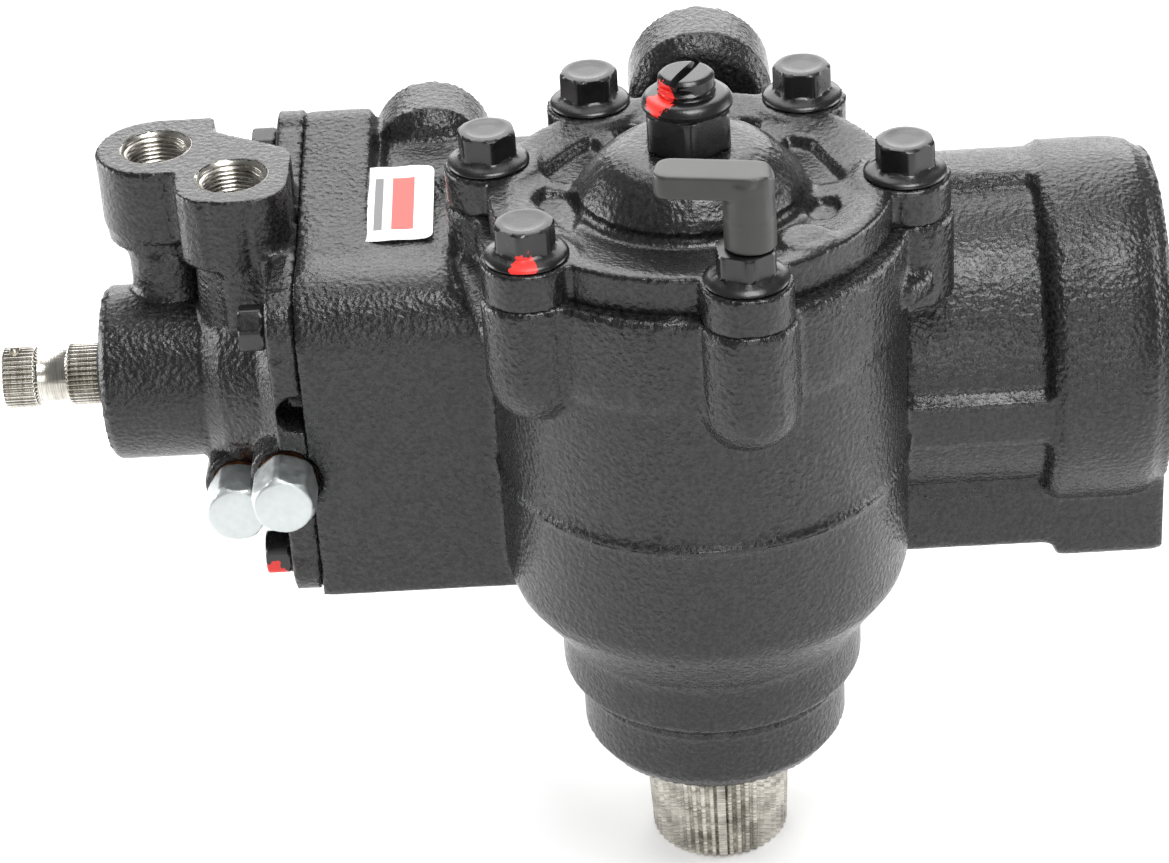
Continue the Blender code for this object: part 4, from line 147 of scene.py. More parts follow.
def mesh_arrays(mesh):
    """The places, the outward normals and the edges of a mesh, as arrays."""
    places = np.empty(len(mesh.vertices) * 3)
    mesh.vertices.foreach_get("co", places)
    normals = np.empty(len(mesh.vertices) * 3)
    mesh.vertex_normals.foreach_get("vector", normals)
    edges = np.empty(len(mesh.edges) * 2, dtype=np.int64)
    mesh.edges.foreach_get("vertices", edges)
    return places.reshape(-1, 3), normals.reshape(-1, 3), edges.reshape(-1, 2)


def relaxed(places, edges, amount, rounds):
    """Moves each point towards the mean of its neighbours by its own amount, as many rounds."""
    ends = np.concatenate([edges[:, 0], edges[:, 1]])
    others = np.concatenate([edges[:, 1], edges[:, 0]])
    count = np.bincount(ends, minlength=len(places))[:, None].clip(1)
    for _ in range(rounds):
        sums = np.stack([np.bincount(ends, places[others, k], len(places)) for k in range(3)], axis=1)
        places = places + amount[:, None] * (sums / count - places)
    return places


def trued(places, normals, turned_forms):
    """Puts points that lie near a turned form onto it.

    A form is (axis, centre, [(radius, height), ...], side). A point at height h belongs to it
    when its radius is within 0.9 mm of the profile's radius there and its normal points away
    from the axis (side 1) or to it (side -1). Its radius becomes the profile's.
    """
    for axis, centre, profile, side in turned_forms:
        along = "xyz".index(axis)
        across = [k for k in range(3) if k != along]
        offset = places[:, across] - np.array(centre)
        radius = np.hypot(offset[:, 0], offset[:, 1]).clip(1e-6)
        height = places[:, along]
        radii, heights = np.array(sorted(profile, key=lambda p: p[1])).T
        target = np.interp(height, heights, radii)
        facing = (normals[:, across] * offset).sum(axis=1) / radius * side
        near = (height >= heights[0]) & (height <= heights[-1]) & (facing > 0.78)
        near &= np.abs(radius - target) < 0.0009
        outward = offset[near] / radius[near, None]
        places[np.ix_(near, across)] = np.array(centre) + outward * target[near, None]
    return places


def merged_copy(node, name):
    """A new mesh object with a CAD node's shape, its loose triangles merged at their corners."""
    form = bmesh.new()
    form.from_mesh(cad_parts[node].data)
    bmesh.ops.remove_doubles(form, verts=form.verts, dist=0.000005)
    mesh = bpy.data.meshes.new(name)
    form.to_mesh(mesh)
    form.free()
    piece = bpy.data.objects.new(name, mesh)
    bpy.context.scene.collection.objects.link(piece)
    return piece


def with_modifier(piece, kind, **settings):
    """The piece's mesh replaced by what one modifier makes of it."""
    modifier = piece.modifiers.new("form", kind)
    for key, value in settings.items():
        setattr(modifier, key, value)
    graph = bpy.context.evaluated_depsgraph_get()
    mesh = bpy.data.meshes.new_from_object(piece.evaluated_get(graph))
    piece.modifiers.clear()
    piece.data = mesh
    return piece


def grid_piece(name, points, close_ends=True):
    """A closed surface from a grid of points: rings one after another, each joined to the next.

    Ring i, column j gives the corner i * columns + j; the faces wrap round the columns, and
    each end is closed by a fan to the mean of its ring. Rings run so that faces point out.
    """
    rings, columns = points.shape[:2]
    i, j = np.meshgrid(np.arange(rings - 1), np.arange(columns), indexing="ij")
    k = (j + 1) % columns
    quads = np.stack([i * columns + j, i * columns + k, (i + 1) * columns + k, (i + 1) * columns + j],
                     axis=-1)
    faces = quads.reshape(-1, 4).tolist()
    corners = points.reshape(-1, 3)
    if close_ends:
        corners = np.concatenate([corners, [points[0].mean(axis=0), points[-1].mean(axis=0)]])
        first, last = len(corners) - 2, len(corners) - 1
        around = np.arange(columns)
        follow = (around + 1) % columns
        base = (rings - 1) * columns
        faces += np.stack([np.full(columns, first), follow, around], axis=-1).tolist()
        faces += np.stack([np.full(columns, last), base + around, base + follow], axis=-1).tolist()
    mesh = bpy.data.meshes.new(name)
    mesh.from_pydata(corners.tolist(), [], faces)
    form = bmesh.new()
    form.from_mesh(mesh)
    bmesh.ops.remove_doubles(form, verts=form.verts, dist=0.000001)
    bmesh.ops.recalc_face_normals(form, faces=form.faces)
    form.to_mesh(mesh)
    form.free()
    piece = bpy.data.objects.new(name, mesh)
    bpy.context.scene.collection.objects.link(piece)
    return piece


def cut_away(piece, cutter):
    """The piece without what lies inside the cutter, which is then thrown away."""
    with_modifier(piece, "BOOLEAN", operation="DIFFERENCE", object=cutter)
    bpy.data.objects.remove(cutter)
    return piece


def add_form(piece, addition):
    """Puts another closed form's faces into the piece; the casting's skin then runs over both."""
    both = bmesh.new()
    both.from_mesh(piece.data)
    both.from_mesh(addition.data)
    both.to_mesh(piece.data)
    both.free()
    bpy.data.objects.remove(addition)


def cast_skin(piece, cell, turned_forms, flats, soft_rounds, grain_height, budget=190000):
    """The casting as it comes out of the sand, from a closed form.

    The form is covered with even cells, its turned forms are made truly round, its inner
    and outer corners are relaxed into fillets, machined planes are kept flat, and the skin is
    sunk by up to grain_height with noise of 9 mm and 3 mm for the waves of the mould.
    """
    with_modifier(piece, "REMESH", mode="VOXEL", voxel_size=cell, adaptivity=0)
    places, normals, edges = mesh_arrays(piece.data)
    machined = np.zeros(len(places), bool)
    for axis, value, facing in flats:
        along = "xyz".index(axis)
        on_plane = (np.abs(places[:, along] - value) < cell * 0.55) & (normals[:, along] * facing > 0.8)
        places[on_plane, along] = value
        machined |= on_plane
    places = trued(places, normals, turned_forms)
    start = places.copy()
    amount = np.where(machined, 0.0, 0.5)
    places = relaxed(places, edges, amount, soft_rounds)
    places = start + (places - start).clip(-0.0016, 0.0016)
    places = trued(places, normals, turned_forms)
    waves = 0.6 * lattice_noise(places, 0.009, 1) + 0.4 * lattice_noise(places, 0.003, 2)
    outer = ~machined
    places[outer] -= normals[outer] * (waves[outer] * grain_height)[:, None]
    piece.data.vertices.foreach_set("co", places.ravel())
    piece.data.update()
    triangles = 2 * len(piece.data.polygons)
    if triangles > budget:
        with_modifier(piece, "DECIMATE", ratio=budget / triangles)
    piece.data.polygons.foreach_set("use_smooth", np.ones(len(piece.data.polygons), bool))
    print(piece.name, "triangles", min(triangles, budget))
    return piece


def star_reach(angles, circles):
    """How far the union of circles reaches from the star's centre at each angle.

    For a circle of radius r whose centre lies d away, the far side is d * cos(a) +
    sqrt(r^2 - (d * sin(a))^2), with a counted from the circle's centre.
    """
    reach = np.zeros(len(angles))
    for x, y, r in circles:
        d = np.hypot(x, y - star_y)
        a = angles - np.arctan2(y - star_y, x)
        under = r * r - (d * np.sin(a)) ** 2
        hit = (under > 0) & ((np.cos(a) > 0) | (d < r))
        far = d * np.cos(a) + np.sqrt(under.clip(0))
        reach = np.where(hit, np.maximum(reach, far), reach)
    return reach


def star_rings(*rings):
    """Rings of points about the star's centre, from (radii, height) pairs, two for each degree."""
    grid = []
    for radii, height in rings:
        radii = radii + 0 * star_angles
        grid.append(np.stack([radii * np.cos(star_angles), star_y + radii * np.sin(star_angles),
                              height + 0 * star_angles], axis=-1))
    return np.stack(grid)


def finish_piece(piece, material, body, slot, *nodes):
    """Gives the piece its one material and its body, and hides the nodes it stands for; its slot is not used.
    """
    piece.data.materials.clear()
    piece.data.materials.append(material)
    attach(piece, body)
    if nodes:
        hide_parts(*nodes)
    return piece


bolt_circle = 0.0662
star_y = SECTOR_Y + 0.0015
bolt_angles = (162, 117.5, 55, -2, -140, -77.7)
bolt_places = [(bolt_circle * cos(radians(a)), star_y + bolt_circle * sin(radians(a))) for a in bolt_angles]
star_angles = np.linspace(-pi, pi, 720, endpoint=False)
joint_z = 0.0752
column_r = 0.0150
barrel = [(0.0672, 0.0745), (0.0672, 0.0446), (0.0660, 0.0443), (0.066, -0.0034), (0.0669, -0.005),
          (0.0673, -0.006), (0.0669, -0.007), (0.066, -0.0086), (0.066, -0.044), (0.0655, -0.0465),
          (0.0643, -0.0500), (0.0530, -0.0660), (0.0510, -0.0685), (0.0500, -0.0715), (0.0498, -0.075),
          (0.0498, -0.086), (0.0485, -0.0895), (0.0455, -0.092), (0.0441, -0.0945), (0.044, -0.098),
          (0.044, -0.111)]
cylinder_ribs = [(0.059, 0.012), (0.059, 0.1125), (0.0602, 0.1150), (0.061, 0.1175)]
cylinder_panels = [(0.055, 0.012), (0.055, 0.1115)]
end_band = [(0.061, 0.116), (0.061, 0.138), (0.0606, 0.1415), (0.0597, 0.1455), (0.0580, 0.1480),
            (0.0572, 0.1495), (0.0570, 0.1518)]
housing_forms = [
    ("z", (0, SECTOR_Y), barrel, 1),
    ("x", (RACK_Y, 0), cylinder_ribs, 1),
    ("x", (RACK_Y, 0), cylinder_panels, 1),
    ("x", (RACK_Y, 0), end_band, 1),
    ("x", (RACK_Y, 0), [(0.0444, -0.126), (0.0444, 0.117)], -1),
    ("x", (RACK_Y, 0), [(0.0552, -0.0300), (0.0552, 0.0110)], 1),
    ("x", (RACK_Y, 0), [(0.0471, 0.1195), (0.0471, 0.1525)], -1),
    ("z", (0, SECTOR_Y), [(0.0406, -0.034), (0.0406, 0.0745)], -1),
    ("y", (0.006, 0.0685), [(0.0243, -0.023), (0.0243, -0.001)], 1),
    ("y", (-0.086, 0.0505), [(0.020, -0.023), (0.020, -0.001)], 1),
    ("y", (-0.070, -0.040), [(0.020, -0.023), (0.020, -0.001)], 1),
    ("y", (0.094, -0.042), [(0.020, -0.023), (0.020, -0.001)], 1),
]
housing_forms += [("z", place, [(column_r, 0.046), (column_r, 0.0745)], 1) for place in bolt_places]
housing_flats = [("z", joint_z, 1), ("y", 0.0, 1), ("x", -0.1275, -1), ("x", 0.152, 1), ("z", -0.116, -1)]
wall_reach = star_reach(star_angles, [(0, SECTOR_Y, 0.0670)] + [(*place, column_r) for place in bolt_places])
in_front = (star_angles > radians(-152)) & (star_angles < radians(-22))
wall_foot = np.where(in_front, 0.0400, 0.0595)
past_wall, past_top = 0.0836, 0.0800
wall_cutter = grid_piece("wall_cutter", star_rings(
    (0.001, joint_z), (wall_reach, joint_z), (wall_reach, wall_foot), (past_wall, wall_foot),
    (past_wall, past_top), (0.001, past_top)))
housing_form = cut_away(merged_copy("main_housing", "main_housing_casting"), wall_cutter)

# The star's wall: a disc down to its foot, and under each bolt a column that ends in a ball, run
# together by a blend that adds width * h^2 / 4 where the two differ by less than its width.
column_ends = (0.0580, 0.0580, 0.0580, 0.0570, 0.0475, 0.0455)
blend_width = 0.009
inside_wall = 0.0580
wall_heights = np.concatenate([np.linspace(joint_z, 0.0452, 28), [0.0446, 0.0443],
                               np.linspace(0.0436, 0.0300, 14)])
wall_rings = [(inside_wall, joint_z)]
for z in wall_heights:
    disc = star_reach(star_angles, [(0, SECTOR_Y, 0.0672 if z > 0.0445 else 0.0655)])
    columns = [(*place, sqrt(max(column_r ** 2 - max(end - z, 0) ** 2, 0)))
               for place, end in zip(bolt_places, column_ends)]
    lobes = star_reach(star_angles, columns)
    blend = (blend_width - np.abs(lobes - disc)).clip(0) / blend_width
    wall_rings.append((np.maximum(disc, lobes) + blend_width * blend ** 2 / 4, z))
wall_rings += [(inside_wall, 0.0290), (inside_wall, joint_z)]
add_form(housing_form, grid_piece("star_wall", star_rings(*wall_rings), close_ends=False))

# The wall that shuts the rack's bore at the back, between the valve block and the cylinder: its
# section, from the bore to the cylinder's panels, is carried round the rack's axis as an arch.
arch_turn = np.linspace(radians(-118), radians(118), 90)[:, None]
arch_x = np.array([[-0.0360, 0.0160, 0.0160, -0.0360]])
arch_r = np.array([[0.0444, 0.0444, 0.0552, 0.0552]])
arch = np.stack([arch_x + 0 * arch_turn, RACK_Y + arch_r * np.cos(arch_turn), arch_r * np.sin(arch_turn)],
                axis=-1)
add_form(housing_form, grid_piece("back_wall", arch))
main_housing = cast_skin(housing_form, 0.0013, housing_forms, housing_flats, 8, 0.00022)
casting_enamel = black_enamel("satin_black_enamel_on_cast_iron", 1.4, 0.50)
finish_piece(main_housing, casting_enamel, "housing", "black_paint", "main_housing")

# The mould's parting line: a fettled ridge round the barrel's front. An ellipse 1.8 mm high and
# 2.4 mm through is carried along the barrel's circle, which waves by a tenth of a millimetre.
ridge_turn = np.linspace(radians(-158), radians(-25), 240)
ridge_angle = np.linspace(0, 2 * pi, 12, endpoint=False)
ridge_proud = 0.0660 + 0.00012 * np.sin(ridge_turn * 23) + 0.00008 * np.sin(ridge_turn * 61)
ridge_r = ridge_proud[:, None] + 0.0012 * np.cos(ridge_angle)[None]
ridge_z = -0.0062 + 0.0004 * np.sin(ridge_turn * 7)[:, None] + 0.0009 * np.sin(ridge_angle)[None]
ridge = np.stack([ridge_r * np.cos(ridge_turn)[:, None], SECTOR_Y + ridge_r * np.sin(ridge_turn)[:, None],
                  ridge_z], axis=-1)
parting_line = grid_piece("barrel_parting_line", ridge)
parting_line.data.polygons.foreach_set("use_smooth", np.ones(len(parting_line.data.polygons), bool))
finish_piece(parting_line, casting_enamel, "housing", "black_paint")


# Sector cover: a separate iron casting, star-shaped round its bolts, with a hollow dome over the
# sector shaft's end and cast pockets between. It is bolted to the housing's machined top and
# painted with it, so its joint shows as a fine dark line.

pocket_floor = 0.0817
cover_top = 0.0877
cover_foot = joint_z - 0.0004
cover_disc_r = 0.0632
cover_lobe_r = 0.0142
pocket_corners = [
    [(-47.1, 18.4), (-44.4, 13.3), (-36.8, 11.2), (-30.3, 21.1), (-23.6, 32.3), (-30, 40.4), (-36.7, 33.9)],
    [(-49.7, 0), (-46.5, 7.7), (-37.9, 6.7), (-34.3, -6.5), (-36, -20.9), (-39.1, -21.6)],
    [(28.8, 30.6), (31.2, 35.1), (39.6, 29.2), (48.6, 4.3), (47.3, 0.9), (38.7, 0.8), (34.1, 10.7)],
    [(33.5, -14.6), (38.2, -6.5), (44.9, -9.1), (45.5, -16), (41.2, -24.5), (36.2, -21.7)],
    [(-22, 38), (-14, 41.5), (-13, 46), (-18, 47), (-24, 43)],
    [(22, 38), (14, 41.5), (13, 46), (18, 47), (24, 43)],
]


def pocket_cutter(corners):
    """A prism over a pocket's corners, in mm about the sector's axis, drawn in towards its floor."""
    outline = np.array(corners) / 1000 + (0, SECTOR_Y)
    middle = outline.mean(axis=0)
    rings = [np.column_stack([middle + (outline - middle) * share, np.full(len(outline), z)])
             for share, z in ((0.86, pocket_floor), (1.0, pocket_floor + 0.0050), (1.06, 0.0920))]
    return grid_piece("pocket_cutter", np.stack(rings))


# The plate is dished: its top sinks by depth * (dish_edge - r) / (dish_edge - foot) towards the
# dome, apart from the seats round the bolts, and the dome's skirt runs down into the dish.
cover_circles = [(0, star_y, cover_disc_r)] + [(*place, cover_lobe_r) for place in bolt_places]
edge_reach = star_reach(star_angles, cover_circles)
plate_inner_r, dish_r = 0.0345, 0.0385
plate_rings = [(plate_inner_r, cover_foot), (edge_reach, cover_foot), (edge_reach, cover_top)]
for share in np.linspace(0.96, 0, 24):
    radii = dish_r + (edge_reach - dish_r) * share
    across = np.stack([radii * np.cos(star_angles), star_y + radii * np.sin(star_angles)], axis=-1)
    to_bolt = np.min([np.hypot(*(across - place).T) for place in bolt_places], axis=0)
    depth = 0.0041 * ((0.0590 - radii) / 0.0200).clip(0, 1) * ((to_bolt - 0.0145) / 0.0030).clip(0, 1)
    plate_rings.append((radii, cover_top - depth))
plate_rings += [(0.0368, 0.0848), (0.0361, 0.0860), (0.0354, 0.0880), (0.0330, 0.0900), (0.0330, 0.0820),
                (plate_inner_r, cover_foot)]
plate = grid_piece("cover_plate", star_rings(*plate_rings), close_ends=False)
for corners in pocket_corners:
    cut_away(plate, pocket_cutter(corners))


def turned(name, at, rows, columns):
    """A turned form about +Z at (x, y): a circle of points for each (radius, height) row."""
    turns = np.linspace(-pi, pi, columns, endpoint=False)
    rings = [np.column_stack([at[0] + r * np.cos(turns), at[1] + r * np.sin(turns), np.full(columns, z)])
             for r, z in rows]
    return grid_piece(name, np.stack(rings))


for place in bolt_places:
    cut_away(plate, turned("bolt_hole", place, [(0.0066, 0.0700), (0.0066, 0.0900)], 24))
pad_rows = [(0.0084, 0.0850), (0.0084, 0.0885), (0.0066, 0.0887), (0.0062, 0.0881), (0.0010, 0.0882)]
add_form(plate, turned("blank_pad", (0.0327, -0.1597), pad_rows, 72))
cover_form = merged_copy("sector_cover", "sector_cover_casting")
plate_cutter = star_rings((0.0352, 0.0700), (0.0352, 0.0880), (0.0850, 0.0900), (0.0850, 0.0700),
                          (0.0352, 0.0700))
cut_away(cover_form, grid_piece("plate_cutter", plate_cutter, close_ends=False))
add_form(cover_form, plate)

edge_foot, edge_top = joint_z + 0.0006, 0.0875
cover_forms = [("z", (x, y), [(r, edge_foot), (r, edge_top)], 1)
               for x, y, r in cover_circles[1:] + cover_circles[:1]]
cover_forms += [
    ("z", (0, SECTOR_Y), [(0.0348, 0.0887), (0.0325, 0.0919), (0.0290, 0.0959),
                          (0.0250, 0.0989), (0.0205, 0.1008)], 1),
    ("z", (0, SECTOR_Y), [(0.0400, 0.058), (0.0400, 0.0745)], 1),
]
sector_cover = cast_skin(cover_form, 0.0010, cover_forms, [("z", cover_foot, -1)], 4, 0.00022, 150000)
cover_enamel = black_enamel("satin_black_enamel_on_cast_cover", 1.4, 0.28)
finish_piece(sector_cover, cover_enamel, "housing", "black_paint", "sector_cover")


# Cover bolts: five forged flange bolts, 17 mm across flats, screwed down through the cover.
# Heads are cold-forged with a shallow dish in the top, turned corners and a broad flange, and
# were sprayed black with the rest, so they shine a little more than the castings.

def shade(piece, angle=32):
    """Smooth faces, with edges sharper than the angle kept crisp."""
    piece.data.polygons.foreach_set("use_smooth", np.ones(len(piece.data.polygons), bool))
    piece.data.set_sharp_from_angle(angle=radians(angle))
    return piece


def hexagon_radius(angles, flats, corner_round=0.0004):
    """The hexagon's radius at each angle: flats / 2 / cos(a) with a folded to within 30 degrees
    of the nearest flat, and held in by corner_round at the corners."""
    folded = (angles + pi / 6) % (pi / 3) - pi / 6
    return np.minimum(flats / 2 / np.cos(folded), flats / sqrt(3) - corner_round)


head_columns = 96


def headed(rows, flats, hex_span, turn=0.0):
    """Rings of a hexagon-headed piece about +Z, from (height, limit) rows.

    The radius is the row's limit, and within hex_span the smaller of that and the hexagon's
    radius. The columns run round evenly, so that the hexagon's corners fall on them.
    """
    heights, limits = np.array(rows).T
    angles = np.linspace(0, 2 * pi, head_columns, endpoint=False)
    h, a = np.meshgrid(heights, angles, indexing="ij")
    radius = np.repeat(limits[:, None], head_columns, axis=1)
    inside = (h <= hex_span[1]) & (h >= hex_span[0])
    radius = np.where(inside, np.minimum(radius, hexagon_radius(a, flats)), radius)
    return np.stack([radius * np.cos(a + turn), radius * np.sin(a + turn), h], axis=-1)


def flanged(rows, flats, turn=0.0):
    """Rings of a flange and shank about +Z, from (height, radius) rows. Where the flange runs up
    into the hexagon, above 1.8 mm, the radius is the larger of the row's and the hexagon's."""
    angles = np.linspace(0, 2 * pi, head_columns, endpoint=False)
    hexagon = hexagon_radius(angles, flats)
    rings = []
    for h, r in rows:
        radius = np.maximum(hexagon, r) if h > 0.0018 else np.full(head_columns, r)
        rings.append(np.stack([radius * np.cos(angles + turn), radius * np.sin(angles + turn),
                               np.full(head_columns, h)], axis=-1))
    return np.stack(rings)


def stood(points, at, direction=(0, 0, 1)):
    """Points about +Z turned so that +Z becomes direction, and moved to at."""
    turn = np.array(Vector((0, 0, 1)).rotation_difference(Vector(direction)).to_matrix())
    return points @ turn.T + np.array(at)


flange_flats = 0.017


def flange_bolt(name, at, turn):
    """Dished top, turned corners, hexagon, conical flange and plain shank, from the top down."""
    top = 0.0115
    head_rows = [(top - 0.0005, 0.0030), (top - 0.0005, 0.0050), (top - 0.0001, 0.0062), (top, 0.0068),
                 (top - 0.0001, 0.0078), (top - 0.0004, 0.0086), (top - 0.0009, 0.0093),
                 (top - 0.0016, 0.0101), (top - 0.0030, 0.0110), (0.0040, 0.0110), (0.0035, 0.0110)]
    flange_rows = [(0.0030, 0.0090), (0.0026, 0.0098), (0.0021, 0.0110), (0.0016, 0.0120), (0.0012, 0.0126),
                   (0.0008, 0.0129), (0.0005, 0.0130), (0.00035, 0.0130), (0.0003, 0.0127),
                   (0.0003, 0.0060), (-0.0300, 0.0060), (-0.0330, 0.0054)]
    rings = np.concatenate([headed(head_rows, flange_flats, (0.0030, top), turn),
                            flanged(flange_rows, flange_flats, turn)])
    return shade(grid_piece(name, stood(rings, at)), 28)


def painted_steel(name, mark=None):
    """Black enamel on smooth forged steel, with a dab of red inspection paint where mark says.

    mark is (centre, radius) in metres. The dab covers points nearer to its centre than the
    radius, less a noise of 2.5 mm that makes its edge ragged, and it is thick enough to shine.
    """
    material, tree, output, place = new_material(name)
    speck = add_node(tree, "ShaderNodeTexNoise", {"Scale": 1000 / 0.9, "Detail": 2.0}, {"Vector": place})
    broad = add_node(tree, "ShaderNodeTexNoise", {"Scale": 1000 / 7, "Detail": 3.0}, {"Vector": place})
    bump = add_node(tree, "ShaderNodeBump", {"Distance": 0.00006, "Strength": 0.5},
                    {"Height": speck.outputs["Fac"]})
    tint = add_node(tree, "ShaderNodeMix", {"data_type": "RGBA", 6: linear("0c0c0d"), 7: linear("1c1c1e")},
                    {0: broad.outputs["Fac"]})
    gloss = add_node(tree, "ShaderNodeMapRange",
                     {"From Min": 0.3, "From Max": 0.7, "To Min": 0.2, "To Max": 0.34},
                     {"Value": broad.outputs["Fac"]})
    shader = add_node(tree, "ShaderNodeBsdfPrincipled", {"IOR": 1.5, "Specular IOR Level": 0.6},
                      {"Base Color": tint.outputs[2], "Roughness": gloss.outputs[0],
                       "Normal": bump.outputs[0]})
    result = shader.outputs[0]
    if mark:
        centre, radius = mark
        distance = add_node(tree, "ShaderNodeVectorMath", {"operation": "DISTANCE", 1: centre}, {0: place})
        ragged = add_node(tree, "ShaderNodeTexNoise", {"Scale": 1000 / 2.5, "Detail": 2.0}, {"Vector": place})
        reach = add_node(tree, "ShaderNodeMath",
                         {"operation": "MULTIPLY_ADD", 1: radius * 1.6, 2: -radius * 0.8},
                         {0: ragged.outputs["Fac"]})
        edge = add_node(tree, "ShaderNodeMath", {"operation": "ADD"},
                        {0: distance.outputs["Value"], 1: reach.outputs[0]})
        inside = add_node(tree, "ShaderNodeMapRange",
                          {"From Min": radius + 0.0002, "From Max": radius - 0.0002},
                          {"Value": edge.outputs[0]})
        red = add_node(tree, "ShaderNodeBsdfPrincipled", {"Base Color": linear("f0362f"), "Roughness": 0.38})
        mixed = add_node(tree, "ShaderNodeMixShader", {},
                         {0: inside.outputs[0], 1: result, 2: red.outputs[0]})
        result = mixed.outputs[0]
    tree.links.new(result, output.inputs[0])
    return material


bolt_steel = painted_steel("black_enamel_on_forged_bolts")
fifth = bolt_places[4]
bolt_mark = ((fifth[0] - 0.0005, fifth[1] - 0.0120, cover_top + 0.0015), 0.0042)
marked_bolt_steel = painted_steel("black_enamel_bolt_with_red_dab", bolt_mark)
for number, (turn, place) in enumerate(zip((12, 40, 25, 8, 50), bolt_places), 1):
    bolt = flange_bolt(f"flange_bolt_{number}", (*place, cover_top), radians(turn))
    finish_piece(bolt, marked_bolt_steel if number == 5 else bolt_steel, "housing", "black_steel",
                 f"cover_bolt_{number}")


# Vent: a drilled flange stud takes the sixth bolt's place, and a moulded elbow of black nylon
# is pushed over its nipple. The elbow is flat-topped with rounded ends, and its moulded skin is
# duller and greyer than the paint round it.

vent_x, vent_y = bolt_places[5]
vent_head_rows = [(0.0108, 0.0060), (0.0107, 0.0084), (0.0105, 0.0089), (0.0098, 0.0096), (0.0040, 0.0110),
                  (0.0035, 0.0110)]
vent_flange_rows = [(0.0030, 0.0090), (0.0021, 0.0110), (0.0012, 0.0126), (0.0006, 0.0130), (0.0003, 0.0129),
                    (0.0003, 0.0060), (-0.0300, 0.0060)]
vent_rings = np.concatenate([headed(vent_head_rows, flange_flats, (0.0030, 0.0110), radians(5)),
                             flanged(vent_flange_rows, flange_flats)])
vent_stud = shade(grid_piece("vent_flange_stud", stood(vent_rings, (vent_x, vent_y, cover_top))), 28)
finish_piece(vent_stud, bolt_steel, "housing", "black_steel", "vent_stud")


def moulded_nylon(name):
    """Black nylon from a spark-eroded mould: matt grey-black, with a fine even grain of 0.5 mm."""
    material, tree, output, place = new_material(name)
    grain = add_node(tree, "ShaderNodeTexNoise", {"Scale": 1000 / 0.5, "Detail": 2.0}, {"Vector": place})
    broad = add_node(tree, "ShaderNodeTexNoise", {"Scale": 1000 / 8, "Detail": 2.0}, {"Vector": place})
    tint = add_node(tree, "ShaderNodeMix", {"data_type": "RGBA", 6: linear("2c2c2b"), 7: linear("3a3a38")},
                    {0: broad.outputs["Fac"]})
    bump = add_node(tree, "ShaderNodeBump", {"Distance": 0.00004, "Strength": 0.5},
                    {"Height": grain.outputs["Fac"]})
    shader = add_node(tree, "ShaderNodeBsdfPrincipled", {"IOR": 1.53, "Roughness": 0.4},
                      {"Base Color": tint.outputs[2], "Normal": bump.outputs[0]})
    tree.links.new(shader.outputs[0], output.inputs[0])
    return material


elbow = cast_skin(merged_copy("vent_elbow", "vent_elbow_moulding"), 0.0006,
                  [("z", (vent_x, vent_y), [(0.0075, 0.0992), (0.0075, 0.1100)], 1)], [], 5, 0.0, 90000)
# Its arm is turned 11 degrees back, drawn 4 mm down, and rounded by 4 mm where it meets the pipe:
# points past the corner's centre move to the circle round it.
corner_r = 0.0040
places = mesh_arrays(elbow.data)[0] - (vent_x, vent_y, 0)
arm_end, arm_top = places[:, 0].min(), places[:, 2].max()
turn = -radians(11)
bent = places[:, :2] @ np.array([[cos(turn), sin(turn)], [-sin(turn), cos(turn)]])
places[:, :2] = np.where(places[:, 2:] > 0.1060, bent, places[:, :2])
places[:, 2] = np.interp(places[:, 2], [0.0980, 0.1080, arm_top], [0.0980, 0.1074, arm_top - 0.0040])
centre_x, centre_z = 0.0035, arm_top - 0.0080
past = np.hypot(places[:, 0] - centre_x, places[:, 2] - centre_z) / corner_r
corner = (places[:, 0] > centre_x) & (places[:, 2] > centre_z) & (past > 1)
places[corner, 0] = centre_x + (places[corner, 0] - centre_x) / past[corner]
places[corner, 2] = centre_z + (places[corner, 2] - centre_z) / past[corner]
places[:, 0] += 0.0018 * (1 - places[:, 0].clip(max=0) / arm_end)
elbow.data.vertices.foreach_set("co", (places + (vent_x, vent_y, 0)).ravel())
elbow.data.update()
finish_piece(elbow, moulded_nylon("moulded_black_nylon"), "housing", "rubber", "vent_elbow")


# Adjuster: a slotted steel screw that sets the sector shaft's end play, with a thick lock nut
# on the dome. The nut has a turned collar over its hexagon, and both were painted in place, so
# the screw's thread is half filled and a dab of red marks the setting.

thread_pitch = 0.0020
screw_top = 0.1254
columns = 64
angles = np.linspace(0, 2 * pi, columns, endpoint=False)
h = np.concatenate([np.linspace(screw_top - 0.0034, 0.0980, 170), [0.080, 0.0752, 0.0751, 0.0703]])
thread = np.abs(((h[:, None] / thread_pitch - angles[None] / (2 * pi)) % 1) * 2 - 1)
radius = 0.0090 - 0.0011 * thread
radius[-4:] = np.array([0.0089, 0.0089, 0.0118, 0.0118])[:, None]
screw_points = np.stack([radius * np.cos(angles), radius * np.sin(angles), np.repeat(h[:, None], columns, 1)],
                        axis=-1)
screw = shade(grid_piece("adjuster_thread", stood(screw_points, (0, SECTOR_Y, 0))), 50)

